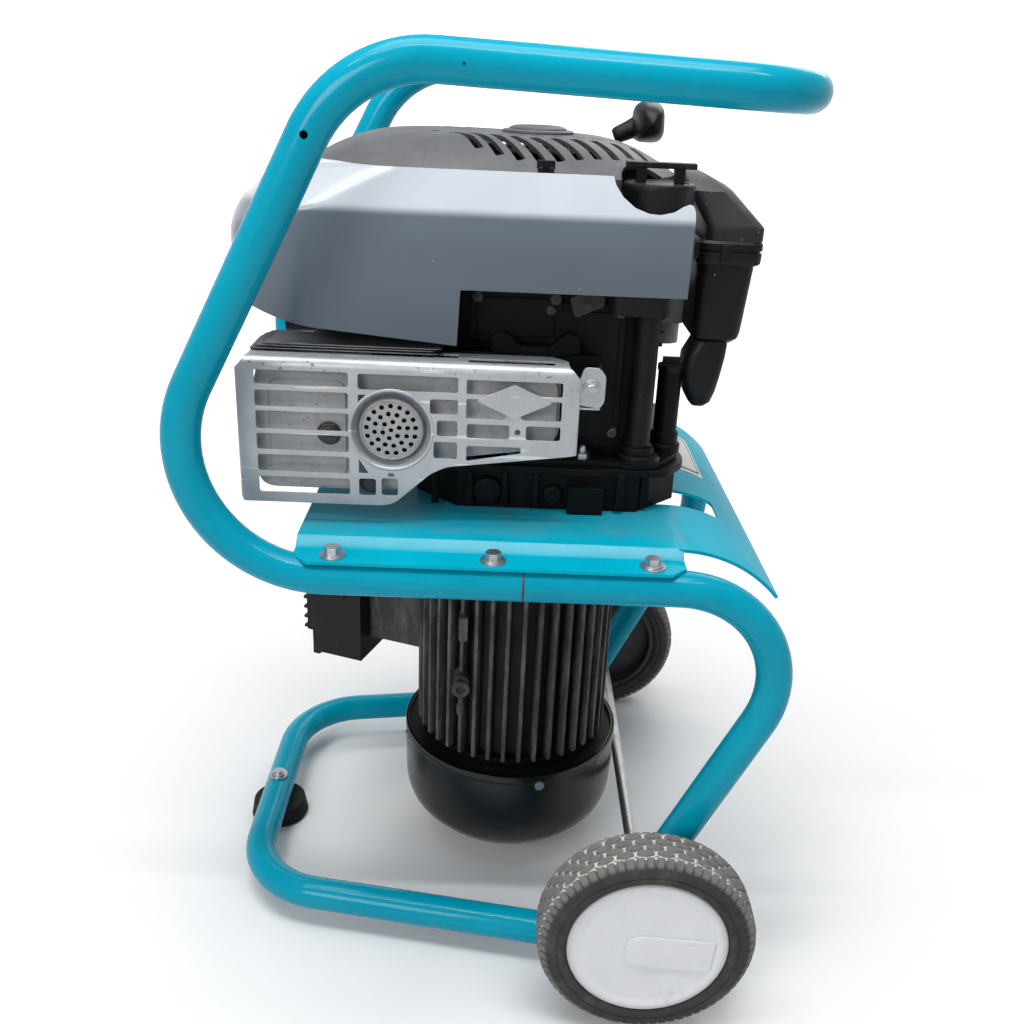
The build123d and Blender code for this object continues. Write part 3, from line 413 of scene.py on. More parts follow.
def finned_casting():
    """Black-painted aluminium fins, with painted shade darkening them towards their roots and pale dust on
    the outer flanks.
    """
    f = Finish("alternator_casting", specular=0.35)
    colour = f.mix(f.noise(35, 6, 0.65), tint(40, 39, 39), tint(66, 64, 63))
    streak = f.noise(70, 6, 0.7, stretch=(1.0, 1.0, 0.25))
    dust = f.times(f.band(streak, 0.42, 0.72), 0.75)
    colour = f.mix(dust, colour, tint(112, 109, 105))
    axis = middle("alternator_housing")
    reach = f.away_from(axis, (1, 1, 0))
    # Painted shade: the fins go nearly black towards their roots, where shade falls between them.
    root_shade = f.band(reach, 103 * MM, 93 * MM)
    colour = f.mix(f.times(root_shade, 0.92), colour, tint(9, 9, 9))
    rough = f.spread(f.noise(45, 5), 0.5, 0.85)
    normal = f.bump(f.noise(420, 4, 0.6), 0.18 * MM, 0.6, f.soft_normal(1.0 * MM))
    return f.done(colour, rough, normal)


def fan_cover_plastic():
    """Deep black gloss paint on the fan cover, with faint dust."""
    f = Finish("fan_cover_gloss", specular=0.3, coat=0.12, coat_rough=0.1)
    colour = f.mix(f.noise(18, 4), tint(7, 7, 8), tint(15, 15, 16))
    dust = f.times(f.band(f.noise(60, 6, 0.75), 0.58, 0.85), 0.16)
    colour = f.mix(dust, colour, tint(88, 86, 84))
    rough = f.spread(f.noise(40, 6), 0.2, 0.4)
    normal = f.bump(f.noise(500, 3), 0.04 * MM, 0.5, f.soft_normal(0.8 * MM))
    return f.done(colour, rough, normal)


def braided_rope():
    """Twisted nylon cord."""
    f = Finish("rope")
    strands = f.noise(700, 3, 0.6, stretch=(1.0, 2.2, 0.4))
    colour = f.mix(strands, tint(26, 26, 27), tint(74, 73, 70))
    return f.done(colour, f.spread(strands, 0.6, 0.9), f.bump(strands, 0.3 * MM, 0.8))


def laminations():
    """Stacked thin steel sheets."""
    f = Finish("lamination", metal=0.8)
    layers = f.noise(900, 1, 0.5, stretch=(0.02, 0.02, 1.0))
    colour = f.mix(layers, tint(60, 60, 64), tint(120, 120, 122))
    return f.done(colour, f.spread(layers, 0.4, 0.6), f.bump(layers, 0.1 * MM, 0.7))


def windings():
    """Varnished copper wire."""
    f = Finish("copper", metal=0.7)
    turns = f.noise(600, 2, 0.5, stretch=(1.0, 1.0, 0.15))
    colour = f.mix(turns, tint(110, 48, 22), tint(176, 92, 48))
    return f.done(colour, f.spread(turns, 0.25, 0.5), f.bump(turns, 0.3 * MM, 0.8))


def filter_paper():
    """Pleated paper."""
    f = Finish("filter_paper")
    pleats = f.noise(500, 1, 0.5, stretch=(1.0, 0.05, 0.05))
    colour = f.mix(pleats, tint(170, 150, 104), tint(214, 198, 156))
    return f.done(colour, f.spread(pleats, 0.7, 0.9), f.bump(pleats, 0.6 * MM, 0.8))


def build_finishes():
    """One material for each material slot of the record, and a few variants."""
    black, dark_dust = tint(10, 10, 11), tint(62, 60, 58)
    steel_dark, steel_light = tint(120, 121, 123), tint(176, 177, 179)
    made = {
        "teal_paint": teal_paint(),
        "deck_paint": teal_paint("deck_paint", 0.3),
        "zinc": plated("zinc", tint(158, 162, 167), tint(208, 211, 215)),
        "axle_steel": plated("axle_steel", tint(150, 149, 147), tint(212, 211, 208), 0.3, 0.55,
                             (1.0, 0.15, 1.0), 0.7),
        "steel": plated("steel", steel_dark, steel_light),
        "tyre_rubber": tyre_rubber(),
        "foot_rubber": moulded("foot_rubber", black, tint(26, 26, 27), dark_dust, 0.3, 0.55, 0.8,
                               True, 0.1, 0.2),
        "rim_plastic": moulded("rim_plastic", tint(30, 30, 31), tint(52, 52, 53), tint(104, 100, 96)),
        "hub_cap_plastic": hub_cap_plastic(),
        "black_casting": cast("black_casting", tint(3, 3, 3), tint(10, 10, 11), tint(70, 68, 66), 0.1, 0.22,
                              0.35, 0.65, specular=0.16),
        "alternator_casting": finned_casting(),
        "bare_aluminium": cast("bare_aluminium", tint(120, 121, 122), tint(160, 161, 162),
                               tint(190, 188, 184), 0.3, 0.3, 0.35, 0.6),
        "cast_iron": cast("cast_iron", tint(44, 40, 38), tint(78, 70, 64), tint(120, 96, 76), 0.4, 0.4),
        "blower_plastic": moulded("blower_plastic", tint(62, 62, 64), tint(82, 82, 85), tint(112, 112, 114),
                                  0.6, 0.4, 0.62, True, specular=0.3),
        "shroud_plastic": shroud_plastic(),
        "black_plastic": moulded("black_plastic", tint(8, 8, 9), tint(20, 20, 21), tint(72, 71, 71),
                                 0.3, 0.32, 0.55, True, specular=0.22),
        "air_box_plastic": moulded("air_box_plastic", tint(26, 26, 28), tint(42, 42, 44), tint(112, 112, 113),
                                   0.7, 0.38, 0.6, True, specular=0.3),
        "guard_steel": guard_steel(),
        "shield_steel": plated("shield_steel", tint(92, 92, 95), tint(146, 146, 149), 0.35, 0.6, None, 0.6),
        "muffler_steel": muffler_steel(),
        "black_steel": cast("black_steel", tint(30, 30, 31), tint(54, 53, 52), tint(140, 138, 135), 0.4, 0.8,
                            0.3, 0.6),
        "lamination": laminations(),
        "copper": windings(),
        "filter_paper": filter_paper(),
        "rope": braided_rope(),
        "red_plastic": moulded("red_plastic", tint(150, 16, 14), tint(186, 30, 24), tint(150, 110, 104)),
        "fan_cover_gloss": fan_cover_plastic(),
    }
    return made


FINISHES = build_finishes()
SPECIAL_FINISH = {"fan_cover": "fan_cover_gloss", "lower_endshield": "black_casting",
                  "deck_plate": "deck_paint", "heat_shield": "shield_steel"}


def dress_cad_nodes():
    """Gives every CAD node the material of its slot in the record."""
    slots = {part["node"]: part["material_slot"] for part in frame["record"]["subparts"]}
    for name, piece in frame["nodes"].items():
        piece.data.materials.clear()
        piece.data.materials.append(FINISHES[SPECIAL_FINISH.get(name, slots[name])])


# ---------------------------------------------------------------- mesh helpers
def new_piece(name, mesh_data, finish, body="generator", sharp=SHARP_EDGE, outward=None):
    """Makes a smooth-shaded object from a bmesh, with its creases kept sharp."""
    mesh = bpy.data.meshes.new(name)
    bmesh.ops.remove_doubles(mesh_data, verts=mesh_data.verts, dist=1e-7)
    bmesh.ops.recalc_face_normals(mesh_data, faces=mesh_data.faces)
    if outward is not None:
        facing = sum((face.normal * face.calc_area() for face in mesh_data.faces), Vector())
        if facing.dot(outward) < 0:
            bmesh.ops.reverse_faces(mesh_data, faces=mesh_data.faces)
    mesh_data.to_mesh(mesh)
    mesh_data.free()
    mesh.polygons.foreach_set("use_smooth", [True] * len(mesh.polygons))
    mesh.set_sharp_from_angle(angle=math.radians(sharp))
    mesh.materials.append(FINISHES[finish])
    piece = bpy.data.objects.new(name, mesh)
    bpy.context.scene.collection.objects.link(piece)
    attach(piece, body)
    return piece


def rounded(piece, width, segments=3, angle=SHARP_EDGE):
    """Rounds the sharp edges of a piece with real geometry."""
    bevel = piece.modifiers.new("rounding", "BEVEL")
    bevel.width = width
    bevel.segments = segments
    bevel.limit_method = "ANGLE"
    bevel.angle_limit = math.radians(angle)
    bevel.harden_normals = True


def grid(rows, closed_columns=False):
    """A quad surface through rows of points."""
    made = bmesh.new()
    verts = [[made.verts.new(p) for p in row] for row in rows]
    column_count = len(rows[0])
    for i in range(len(rows) - 1):
        for j in range(column_count if closed_columns else column_count - 1):
            after = (j + 1) % column_count
            made.faces.new((verts[i][j], verts[i][after], verts[i + 1][after], verts[i + 1][j]))
    return made


def around(angle_share, radius):
    """A point on a circle about the origin, from a share of a full turn."""
    angle = 2 * PI * angle_share
    return radius * math.cos(angle), radius * math.sin(angle)


def lathe(profile, origin, axis="Z", steps=96, turn=None):
    """Turns a (radius, height) profile in millimetres about an axis. turn(angle, r, h) may change a point."""
    rows = []
    for r, h in profile:
        row = []
        for i in range(steps):
            radius, height = turn(2 * PI * i / steps, r, h) if turn else (r, h)
            a, b = around(i / steps, radius * MM)
            point = {"Z": (a, b, height * MM), "Y": (a, height * MM, b), "X": (height * MM, a, b)}[axis]
            row.append(Vector(point) + origin)
        rows.append(row)
    return grid(rows, closed_columns=True)


def prism(outline, thickness):
    """A plate from a list of corner points, thickened along a vector."""
    made = bmesh.new()
    face = made.faces.new([made.verts.new(p) for p in outline])
    grown = bmesh.ops.extrude_face_region(made, geom=[face])
    moved = [g for g in grown["geom"] if isinstance(g, bmesh.types.BMVert)]
    bmesh.ops.translate(made, verts=moved, vec=thickness)
    return made


def slab(outline, y, depth):
    """A plate from an (x, z) outline of the drawing, standing at y and thickened away from the front."""
    return prism([place(x, y, z) for x, z in outline], Vector((0, depth * MM, 0)))


def block(x0, x1, y0, y1, z0, z1):
    """A block between two corners of the drawing."""
    outline = [place(x0, y0, z0), place(x1, y0, z0), place(x1, y1, z0), place(x0, y1, z0)]
    return prism(outline, Vector((0, 0, (z1 - z0) * MM)))


def hexagon(across, x, y, z0, z1, axis="Z"):
    """A hexagon head standing on the drawing's XY plane, or on XZ for axis Y."""
    outline = []
    for i in range(6):
        a, b = around(i / 6, across / math.sqrt(3))
        outline.append(place(x + a, y + b, z0) if axis == "Z" else place(x + a, z0, y + b))
    reach = (z1 - z0) * MM
    return prism(outline, Vector((0, 0, reach) if axis == "Z" else (0, reach, 0)))


def softened(points, radius, steps=4):
    """A closed outline with its corners rounded."""
    outline = []
    for i, corner in enumerate(points):
        corner = Vector(corner)
        back = Vector(points[i - 1]) - corner
        on = Vector(points[(i + 1) % len(points)]) - corner
        reach = min(radius, back.length * 0.45, on.length * 0.45)
        start, end = corner + back.normalized() * reach, corner + on.normalized() * reach
        for k in range(steps + 1):
            t = k / steps
            outline.append(tuple(start * (1 - t) ** 2 + corner * 2 * t * (1 - t) + end * t * t))
    return outline


def oblong(u0, u1, v0, v1, radius=2.5):
    """A rounded rectangle as an outline."""
    return softened([(u0, v0), (u1, v0), (u1, v1), (u0, v1)], radius)


def disc_outline(u, v, radius, steps=16):
    """A circle as an outline."""
    points = [around(i / steps, radius) for i in range(steps)]
    return [(u + a, v + b) for a, b in points]


def encloses(loop, u, v):
    """Whether a closed loop goes round a point."""
    hit = False
    last = loop[-1]
    for point in loop:
        if (last[1] > v) != (point[1] > v):
            hit ^= u < last[0] + (v - last[1]) * (point[0] - last[0]) / (point[1] - last[1])
        last = point
    return hit


def pattern(outline, holes):
    """A flat sheet, in millimetres on XY, with holes cut through it."""
    points, edges, boxes = [], [], []
    for loop in [outline] + holes:
        first = len(points)
        points += [Vector(point) for point in loop]
        edges += [(first + i, first + (i + 1) % len(loop)) for i in range(len(loop))]
        us, vs = [point[0] for point in loop], [point[1] for point in loop]
        boxes.append((min(us), max(us), min(vs), max(vs)))
    verts, _, faces, _, _, _ = delaunay_2d_cdt(points, edges, [], 0, 1e-5)
    made = bmesh.new()
    corners = [made.verts.new((point[0], point[1], 0)) for point in verts]
    for face in faces:
        u, v = (sum(verts[i][axis] for i in face) / len(face) for axis in (0, 1))
        in_hole = any(box[0] < u < box[1] and box[2] < v < box[3] and encloses(hole, u, v)
                      for hole, box in zip(holes, boxes[1:]))
        if encloses(outline, u, v) and not in_hole:
            made.faces.new([corners[i] for i in face])
    loose = [vert for vert in made.verts if not vert.link_faces]
    bmesh.ops.delete(made, geom=loose, context="VERTS")
    return made


def creased(made, us, vs):
    """Adds edges across a flat sheet where it will bend."""
    for value, normal in [(u, (1, 0, 0)) for u in us] + [(v, (0, 1, 0)) for v in vs]:
        point = (value * normal[0], value * normal[1], 0)
        everything = made.verts[:] + made.edges[:] + made.faces[:]
        bmesh.ops.bisect_plane(made, geom=everything, plane_co=point, plane_no=normal, dist=1e-4)
    return made


def folded(made, where):
    """Moves every point (u, v) of a flat sheet to where(u, v) of the drawing."""
    for vert in made.verts:
        vert.co = place(*where(vert.co.x, vert.co.y))
    return made


def ring_of(x0, x1, y0, y1, radius, z, steps=6):
    """Points round a level rounded rectangle of the drawing."""
    points = []
    corners = ((x1 - radius, y0 + radius, -PI / 2), (x1 - radius, y1 - radius, 0),
               (x0 + radius, y1 - radius, PI / 2), (x0 + radius, y0 + radius, PI))
    for x, y, turn in corners:
        for i in range(steps + 1):
            angle = turn + PI / 2 * i / steps
            points.append(place(x + radius * math.cos(angle), y + radius * math.sin(angle), z))
    return points


def loft(sections, steps=6):
    """A closed skin through level rounded rectangles (x0, x1, y0, y1, radius, z)."""
    rows = [ring_of(*section, steps) for section in sections]
    made = grid(rows, closed_columns=True)
    made.verts.ensure_lookup_table()
    count = len(rows[0])
    made.faces.new([made.verts[i] for i in range(count)])
    made.faces.new([made.verts[len(made.verts) - count + i] for i in range(count)])
    return made


def tube(points, radius, steps=12):
    """A round bar of the drawing through smooth points."""
    centres = [place(*point) for point in points]
    rows = []
    for i, centre in enumerate(centres):
        along = (centres[min(i + 1, len(centres) - 1)] - centres[max(i - 1, 0)]).normalized()
        side = along.cross(Vector((0, 1, 0)) if abs(along.y) < 0.8 else Vector((1, 0, 0))).normalized()
        up = side.cross(along)
        spokes = [around(j / steps, radius * MM) for j in range(steps)]
        rows.append([centre + side * a + up * b for a, b in spokes])
    made = grid(rows, closed_columns=True)
    made.verts.ensure_lookup_table()
    made.faces.new([made.verts[i] for i in range(steps)])
    made.faces.new([made.verts[len(made.verts) - steps + i] for i in range(steps)])
    return made


def joined(*parts):
    """Several bmeshes as one."""
    whole = parts[0]
    for part in parts[1:]:
        shell = bpy.data.meshes.new("part")
        part.to_mesh(shell)
        part.free()
        whole.from_mesh(shell)
        bpy.data.meshes.remove(shell)
    return whole


def settle(piece):
    """Turns a piece's modifiers into its own mesh."""
    bpy.context.view_layer.update()
    evaluated = piece.evaluated_get(bpy.context.evaluated_depsgraph_get())
    mesh = bpy.data.meshes.new_from_object(evaluated)
    piece.modifiers.clear()
    piece.data = mesh
    mesh.polygons.foreach_set("use_smooth", [True] * len(mesh.polygons))
    mesh.set_sharp_from_angle(angle=math.radians(SHARP_EDGE))
    return piece


def thickened(piece, thickness):
    """Gives a surface its sheet thickness, on its inner side."""
    solid = piece.modifiers.new("sheet", "SOLIDIFY")
    solid.thickness = thickness
    solid.offset = -1
    solid.use_even_offset = True
    return settle(piece)


# ---------------------------------------------------------------- blower housing
DOME_X0, DOME_X1, DOME_Y0, DOME_Y1 = -170.0, 158.0, -131.0, 125.0
DOME_CORNER = 108.0
DOME_EAVE, DOME_TOP = 747.0, 775.0
DOME_RISE_OVER = 88.0
SLOT_FIRST_X, SLOT_PITCH = -60.0, 17.6
RIB_HALF_X, RIB_HALF_Y = 112.0, 62.0
FIELD_HALF_X, FIELD_HALF_Y = 118.0, 116.0
FUEL_X, FUEL_Y, POCKET_RADIUS, POCKET_MARGIN = 134.0, -114.0, 32.0, 8.0
SLOT_COUNT, SLOT_HALF_WIDTH, THIN_HALF_WIDTH = 11, 3.9, 2.0
SLOT_START_LEAN, SLOT_RUN = Vector((11, -19)), Vector((26, -54))
SLOT_POINTS, SLOT_APART, THIN_APART = 16, 10.4, 7.6
THIN_SLOT = (Vector((-19, 13.5)), Vector((-13, 11.4)), Vector((-7, 9.0)))
SKIRT_DROP, DOME_SHEET = 84.0, 4.0
INTAKE_WINDOW = (98, 151, -150, -58, 640, 702)
FRONT_NOTCH = (32.5, 45.5, -150, -112, 750.5, 763)


def dome_edge(angle):
    """Distance from the crank axis to the housing's rounded-rectangle outline."""
    inner_x0, inner_x1 = DOME_X0 + DOME_CORNER, DOME_X1 - DOME_CORNER
    inner_y0, inner_y1 = DOME_Y0 + DOME_CORNER, DOME_Y1 - DOME_CORNER
    reach, step = 60.0, 30.0
    while step > 0.05:
        x = CRANK_DRAWN_X + (reach + step) * math.cos(angle)
        y = (reach + step) * math.sin(angle)
        over_x = max(inner_x0 - x, 0.0, x - inner_x1)
        over_y = max(inner_y0 - y, 0.0, y - inner_y1)
        if math.hypot(over_x, over_y) <= DOME_CORNER:
            reach += step
        else:
            step /= 2
    return reach


def dome_height(inward):
    """Height of the roof at a distance in from its edge."""
    share = min(inward / DOME_RISE_OVER, 1.0)
    return DOME_EAVE + (DOME_TOP - DOME_EAVE) * (1 - (1 - share) ** 2.2)


def louvre_centres():
    """Centre lines of the long and the thin inner louvre slots of the near half, as (points, half width)."""
    long_slots, thin_slots = [], []
    for k in reversed(range(SLOT_COUNT)):
        x = SLOT_FIRST_X + SLOT_PITCH * k
        share = min(1.0, abs(x - CRANK_DRAWN_X) / RIB_HALF_X)
        start = Vector((x, -RIB_HALF_Y * math.sqrt(1 - share * share)))
        slot = []
        for i in range(SLOT_POINTS):
            t = i / (SLOT_POINTS - 1)
            point = start + 2 * t * (1 - t) * SLOT_START_LEAN + t * t * SLOT_RUN
            in_field = math.hypot((point.x - CRANK_DRAWN_X) / FIELD_HALF_X, point.y / FIELD_HALF_Y) <= 1
            crowded = any((point - other).length < SLOT_APART for line, _ in long_slots for other in line)
            off_pocket = (point - Vector((FUEL_X, FUEL_Y))).length > POCKET_RADIUS + POCKET_MARGIN
            if in_field and off_pocket and not crowded:
                slot.append(point)
            elif slot:
                break
        if len(slot) >= 4:
            long_slots.append((slot, SLOT_HALF_WIDTH))
        thin_slots.append([start + step for step in THIN_SLOT])
    kept = [(line, THIN_HALF_WIDTH) for line in thin_slots
            if min((a - b).length for a in line for slot, _ in long_slots for b in slot) > THIN_APART]
    return long_slots + kept


def louvre_outlines():
    """Outlines of every louvre slot, on the near half and turned half round for the far half."""
    outlines = []
    for centres, half in louvre_centres():
        left, right = [], []
        last = len(centres) - 1
        for i, centre in enumerate(centres):
            direction = (centres[min(i + 1, last)] - centres[max(i - 1, 0)]).normalized()
            side = Vector((-direction.y, direction.x)) * half
            left.append(centre + side)
            right.append(centre - side)
        outline = softened([tuple(p) for p in left + right[::-1]], 1.6, 3)
        outlines.append(outline)
        outlines.append([(2 * CRANK_DRAWN_X - u, -v) for u, v in outline])
    return outlines


def cut_block(made, x0, x1, y0, y1, z0, z1):
    """Removes the part of a thin shell that lies in a block of the drawing."""
    low, high = place(x0, y0, z0), place(x1, y1, z1)
    for corner in (low, high):
        for axis in range(3):
            normal = Vector([1.0 if i == axis else 0.0 for i in range(3)])
            everything = made.verts[:] + made.edges[:] + made.faces[:]
            bmesh.ops.bisect_plane(made, geom=everything, plane_co=corner, plane_no=normal, dist=1e-7)
    inside = [face for face in made.faces
              if all(low[i] < face.calc_center_median()[i] < high[i] for i in range(3))]
    bmesh.ops.delete(made, geom=inside, context="FACES")
    return made


def on_dome(x, y):
    """The drawing's point on the dome over a point of its flat pattern."""
    from_crank = Vector((x - CRANK_DRAWN_X, y))
    inward = dome_edge(math.atan2(from_crank.y, from_crank.x)) - from_crank.length
    return x, y, dome_height(max(inward, 0.0))


def blower_housing():
    """Domed housing with swept louvres, a fuel cap pocket, an intake window and a front notch."""
    columns = 240
    outline = []
    for j in range(columns):
        a, b = around(j / columns, dome_edge(2 * PI * j / columns))
        outline.append((CRANK_DRAWN_X + a, b))
    made = pattern(outline, louvre_outlines() + [disc_outline(FUEL_X, FUEL_Y, POCKET_RADIUS, 64)])
    creased(made, [DOME_X0 + 8 * k for k in range(1, 41)], [DOME_Y0 + 8 * k for k in range(1, 32)])
    folded(made, on_dome)
    eave = place(0, 0, DOME_EAVE).z
    rim = [edge for edge in made.edges
           if edge.is_boundary and all(abs(vert.co.z - eave) < 0.6 * MM for vert in edge.verts)]
    for grown in bmesh.ops.extrude_edge_only(made, edges=rim)["geom"]:
        if isinstance(grown, bmesh.types.BMVert):
            grown.co.z = eave - SKIRT_DROP * MM
    cut_block(made, *INTAKE_WINDOW)
    cut_block(made, *FRONT_NOTCH)
    piece = new_piece("blower_dome", made, "blower_plastic", sharp=50, outward=Vector((0, 0, 1)))
    thickened(piece, DOME_SHEET * MM)
    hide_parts("blower_housing")
    back = new_piece("blower_notch_back", joined(block(31.5, 46.5, -121, -119, 744, 760),
                                                 block(33.2, 36, -130.5, -121, 750, 755),
                                                 block(42, 44.8, -130.5, -121, 750, 755)),
                     "black_plastic")
    rounded(back, 0.5 * MM)


def starter_cap():
    """Low round cap with stepped rings and a moulded hub."""
    profile = [(0.01, 781.2), (7, 781.2), (8, 780.0), (11, 780.0), (12, 781.6), (20, 781.6), (23, 780.9),
               (26, 779.6), (26.6, 778.2), (31, 778.0), (32.6, 777.2), (33, 775.6), (33, 773.0)]
    piece = new_piece("starter_disc", lathe(profile, place(CRANK_DRAWN_X, 0, 0)), "blower_plastic")
    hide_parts("starter_cap")


# ---------------------------------------------------------------- side cover
PANEL_Y, FAR_Y, NOSE_X, NOSE_CORNER = -150.0, 132.0, -234.0, 88.0
SCOOP_START_X = 94.0
PANEL_TOP, CREASE_Z, NOSE_CREASE_Z = 751.0, 716.0, 684.0
STEP_X, STEP_Z, PANEL_LOW_Z, NOSE_LOW_Z = -28.0, 657.0, 610.0, 640.0


def scoop_height(x):
    """Upper edge of the side cover beside the fuel cap."""
    if x <= SCOOP_START_X:
        return PANEL_TOP
    marks = ((94.0, 751.0), (96.0, 744.4), (102.0, 735.8), (111.8, 728.2), (123.3, 724.2), (132.6, 723.6),
             (143.5, 726.0), (150.5, 730.2), (156.0, 732.3), (159.0, 731.4), (160.3, 729.0), (161.0, 726.0))
    for (x0, z0), (x1, z1) in zip(marks[:-1], marks[1:]):
        if x <= x1:
            return z0 + (z1 - z0) * (x - x0) / (x1 - x0)
    return marks[-1][1]


def panel_low_edge(x):
    """Lower edge of the side cover along its near face."""
    if x > STEP_X:
        return STEP_Z
    return PANEL_LOW_Z + (STEP_X - x) * 0.088


def shroud_columns():
    """Points along the cover's plan: (outer point, inner edge point, low z, crease z, top z, nose share)."""
    columns = []
    xs = [161.0, 160.6, 160.0, 159.0, 157.6, 156.0] + [154.0 - 2.0 * i for i in range(27)]
    xs += [98.5, 97.0, 96.0, 95.0, 94.0, 92.0, 88.0] + [84.0 - 7.0 * i for i in range(16)]
    xs += [STEP_X + 0.4, STEP_X - 1.6]
    xs += [STEP_X - 8 - 7.0 * i for i in range(16)]
    for x in xs:
        inner_x = x if x > -42 else -42 + (x + 42) * 0.35
        columns.append(((x, PANEL_Y), (inner_x, -133.0), panel_low_edge(x), CREASE_Z, scoop_height(x), 0.0))
    steps = 20
    for i in range(1, steps + 1):
        turn = PI / 2 * i / steps
        share = i / steps
        outer = (NOSE_X + NOSE_CORNER * (1 - math.sin(turn)), PANEL_Y + NOSE_CORNER * (1 - math.cos(turn)))
        inner = (-79 - 71 * math.sin(turn), -133 + 100 * (1 - math.cos(turn)))
        ease = share * share * (3 - 2 * share)
        low = panel_low_edge(outer[0]) * (1 - ease) + NOSE_LOW_Z * ease
        columns.append((outer, inner, low, CREASE_Z + (NOSE_CREASE_Z - CREASE_Z) * ease, PANEL_TOP, ease))
    for i in range(1, 9):
        y = PANEL_Y + NOSE_CORNER + (FAR_Y - PANEL_Y - 2 * NOSE_CORNER) * i / 9
        inner_y = -33 + (27 + 33) * i / 9
        columns.append(((NOSE_X, y), (-150, inner_y), NOSE_LOW_Z, NOSE_CREASE_Z, PANEL_TOP, 1.0))
    for i in range(steps + 1):
        turn = PI / 2 * i / steps
        share = 1 - i / steps
        outer = (NOSE_X + NOSE_CORNER * (1 - math.cos(turn)), FAR_Y - NOSE_CORNER * (1 - math.sin(turn)))
        inner = (-150 + 71 * (1 - math.cos(turn)), 27 + 92 * math.sin(turn))
        ease = share * share * (3 - 2 * share)
        crease = CREASE_Z + (NOSE_CREASE_Z - CREASE_Z) * ease
        columns.append((outer, inner, NOSE_LOW_Z, crease, PANEL_TOP, ease))
    for i in range(1, 9):
        x = NOSE_X + NOSE_CORNER + (-60 - NOSE_X - NOSE_CORNER) * i / 8
        columns.append(((x, FAR_Y), (-79 + 19 * i / 8, 119.0), NOSE_LOW_Z, CREASE_Z, PANEL_TOP, 0.0))
    return columns


def engine_shroud():
    """Gloss side cover: upright panel, soft crease, and a roof that leans in and closes the nose."""
    wall_rows, roof_rows = 10, 16
    rows = [[] for _ in range(wall_rows + roof_rows + 1)]
    for outer, inner, low, crease, top, nose in shroud_columns():
        full = PANEL_TOP - crease
        for i in range(wall_rows):
            z = low + (crease - low) * i / wall_rows
            bulge = 1.6 * math.sin(PI * (z - 600) / 116) * (1 - nose)
            rows[i].append(place(outer[0], outer[1] + (bulge if outer[1] < 0 else -bulge), z))
        for i in range(roof_rows + 1):
            k = i / roof_rows
            rise = (top - crease) * ((1 - nose) * k + nose * math.sin(PI / 2 * k))
            up = min(rise / full, 1.0)
            soft = 0.16
            lean = up * up / (2 * soft) if up < soft else up - soft / 2
            inward = (1 - nose) * lean / (1 - soft / 2) + nose * (1 - math.sqrt(1 - up * up))
            x = outer[0] + (inner[0] - outer[0]) * inward
            y = outer[1] + (inner[1] - outer[1]) * inward
            rows[wall_rows + i].append(place(x, y, crease + rise))
    piece = new_piece("side_cover", grid(rows), "shroud_plastic", sharp=60)
    thickened(piece, 2.6 * MM)
    rounded(piece, 0.7 * MM, 2, 50)
    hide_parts("engine_shroud")


# ---------------------------------------------------------------- wheels
TREAD_ROWS = 4
TREAD_BLOCKS = 34


def tread_depth(angle, across, width):
    """Groove depth in millimetres at a place on the tread: hexagon blocks between narrow grooves."""
    pitch = 2 * PI / TREAD_BLOCKS
    row_height = width / TREAD_ROWS
    best = second = 99.0
    for row in range(-1, TREAD_ROWS + 1):
        offset = 0.5 * (row % 2)
        centre_y = (row + 0.5) * row_height
        nearest = round(angle / pitch - offset)
        for k in (nearest - 1, nearest, nearest + 1):
            dx = (angle - (k + offset) * pitch) / pitch * 1.05
            dy = (across - centre_y) / row_height
            away = math.hypot(dx, dy * 0.92)
            if away < best:
                best, second = away, best
            elif away < second:
                second = away
    edge = second - best
    return 2.6 * min(1.0, max(0.0, (0.2 - edge) / 0.09))


def tyre(word):
    """Rubber tyre with moulded blocks and nicked shoulders."""
    low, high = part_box(word + "_tyre")
    centre = (low + high) / 2
    radius = (high.z - low.z) / 2 / MM
    half = (high.y - low.y) / 2 / MM
    rim_r = 74.0
    bead_marks = ((0, 3), (1, 1.2), (3.4, 0.2), (7, 0), (7.8, 0.9), (9, 0.9), (9.8, 0), (12, 0.4), (15, 1.3))
    profile = [(rim_r + out, half - sunk) for out, sunk in bead_marks]
    shoulder_marks = ((8.0, 2.4), (5.4, 3.9), (3.1, 6.0), (1.3, 8.6))
    shoulder = [(radius - down, half - sunk) for down, sunk in shoulder_marks]
    flat = half - 10.0
    tread_rows = 44
    crown = [(radius - 0.5 * (2 * k / tread_rows - 1) ** 2, flat - 2 * flat * k / tread_rows)
             for k in range(tread_rows + 1)]
    mirror = [(r, -y) for r, y in reversed(profile + shoulder)]
    outline = profile + shoulder + crown + mirror
    top_of_shoulder = radius - 9.0

    def shape(angle, r, y):
        if abs(y) <= flat + 0.01:
            return r - tread_depth(angle, y + flat, 2 * flat), y
        if r > top_of_shoulder:
            phase = angle / (2 * PI) * TREAD_BLOCKS * 2 % 1.0
            nick = 1.0 if phase < 0.17 else 0.0
            deep = 2.4 * nick * min(1.0, (r - top_of_shoulder) / 3.0)
            return r - deep, y - math.copysign(0.5 * deep, y)
        return r, y

    rubber = lathe(outline, centre, "Y", TREAD_BLOCKS * 14, shape)
    piece = new_piece(word + "_tyre_rubber", rubber, "tyre_rubber", word + "_wheel", sharp=40)
    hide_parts(word + "_tyre")


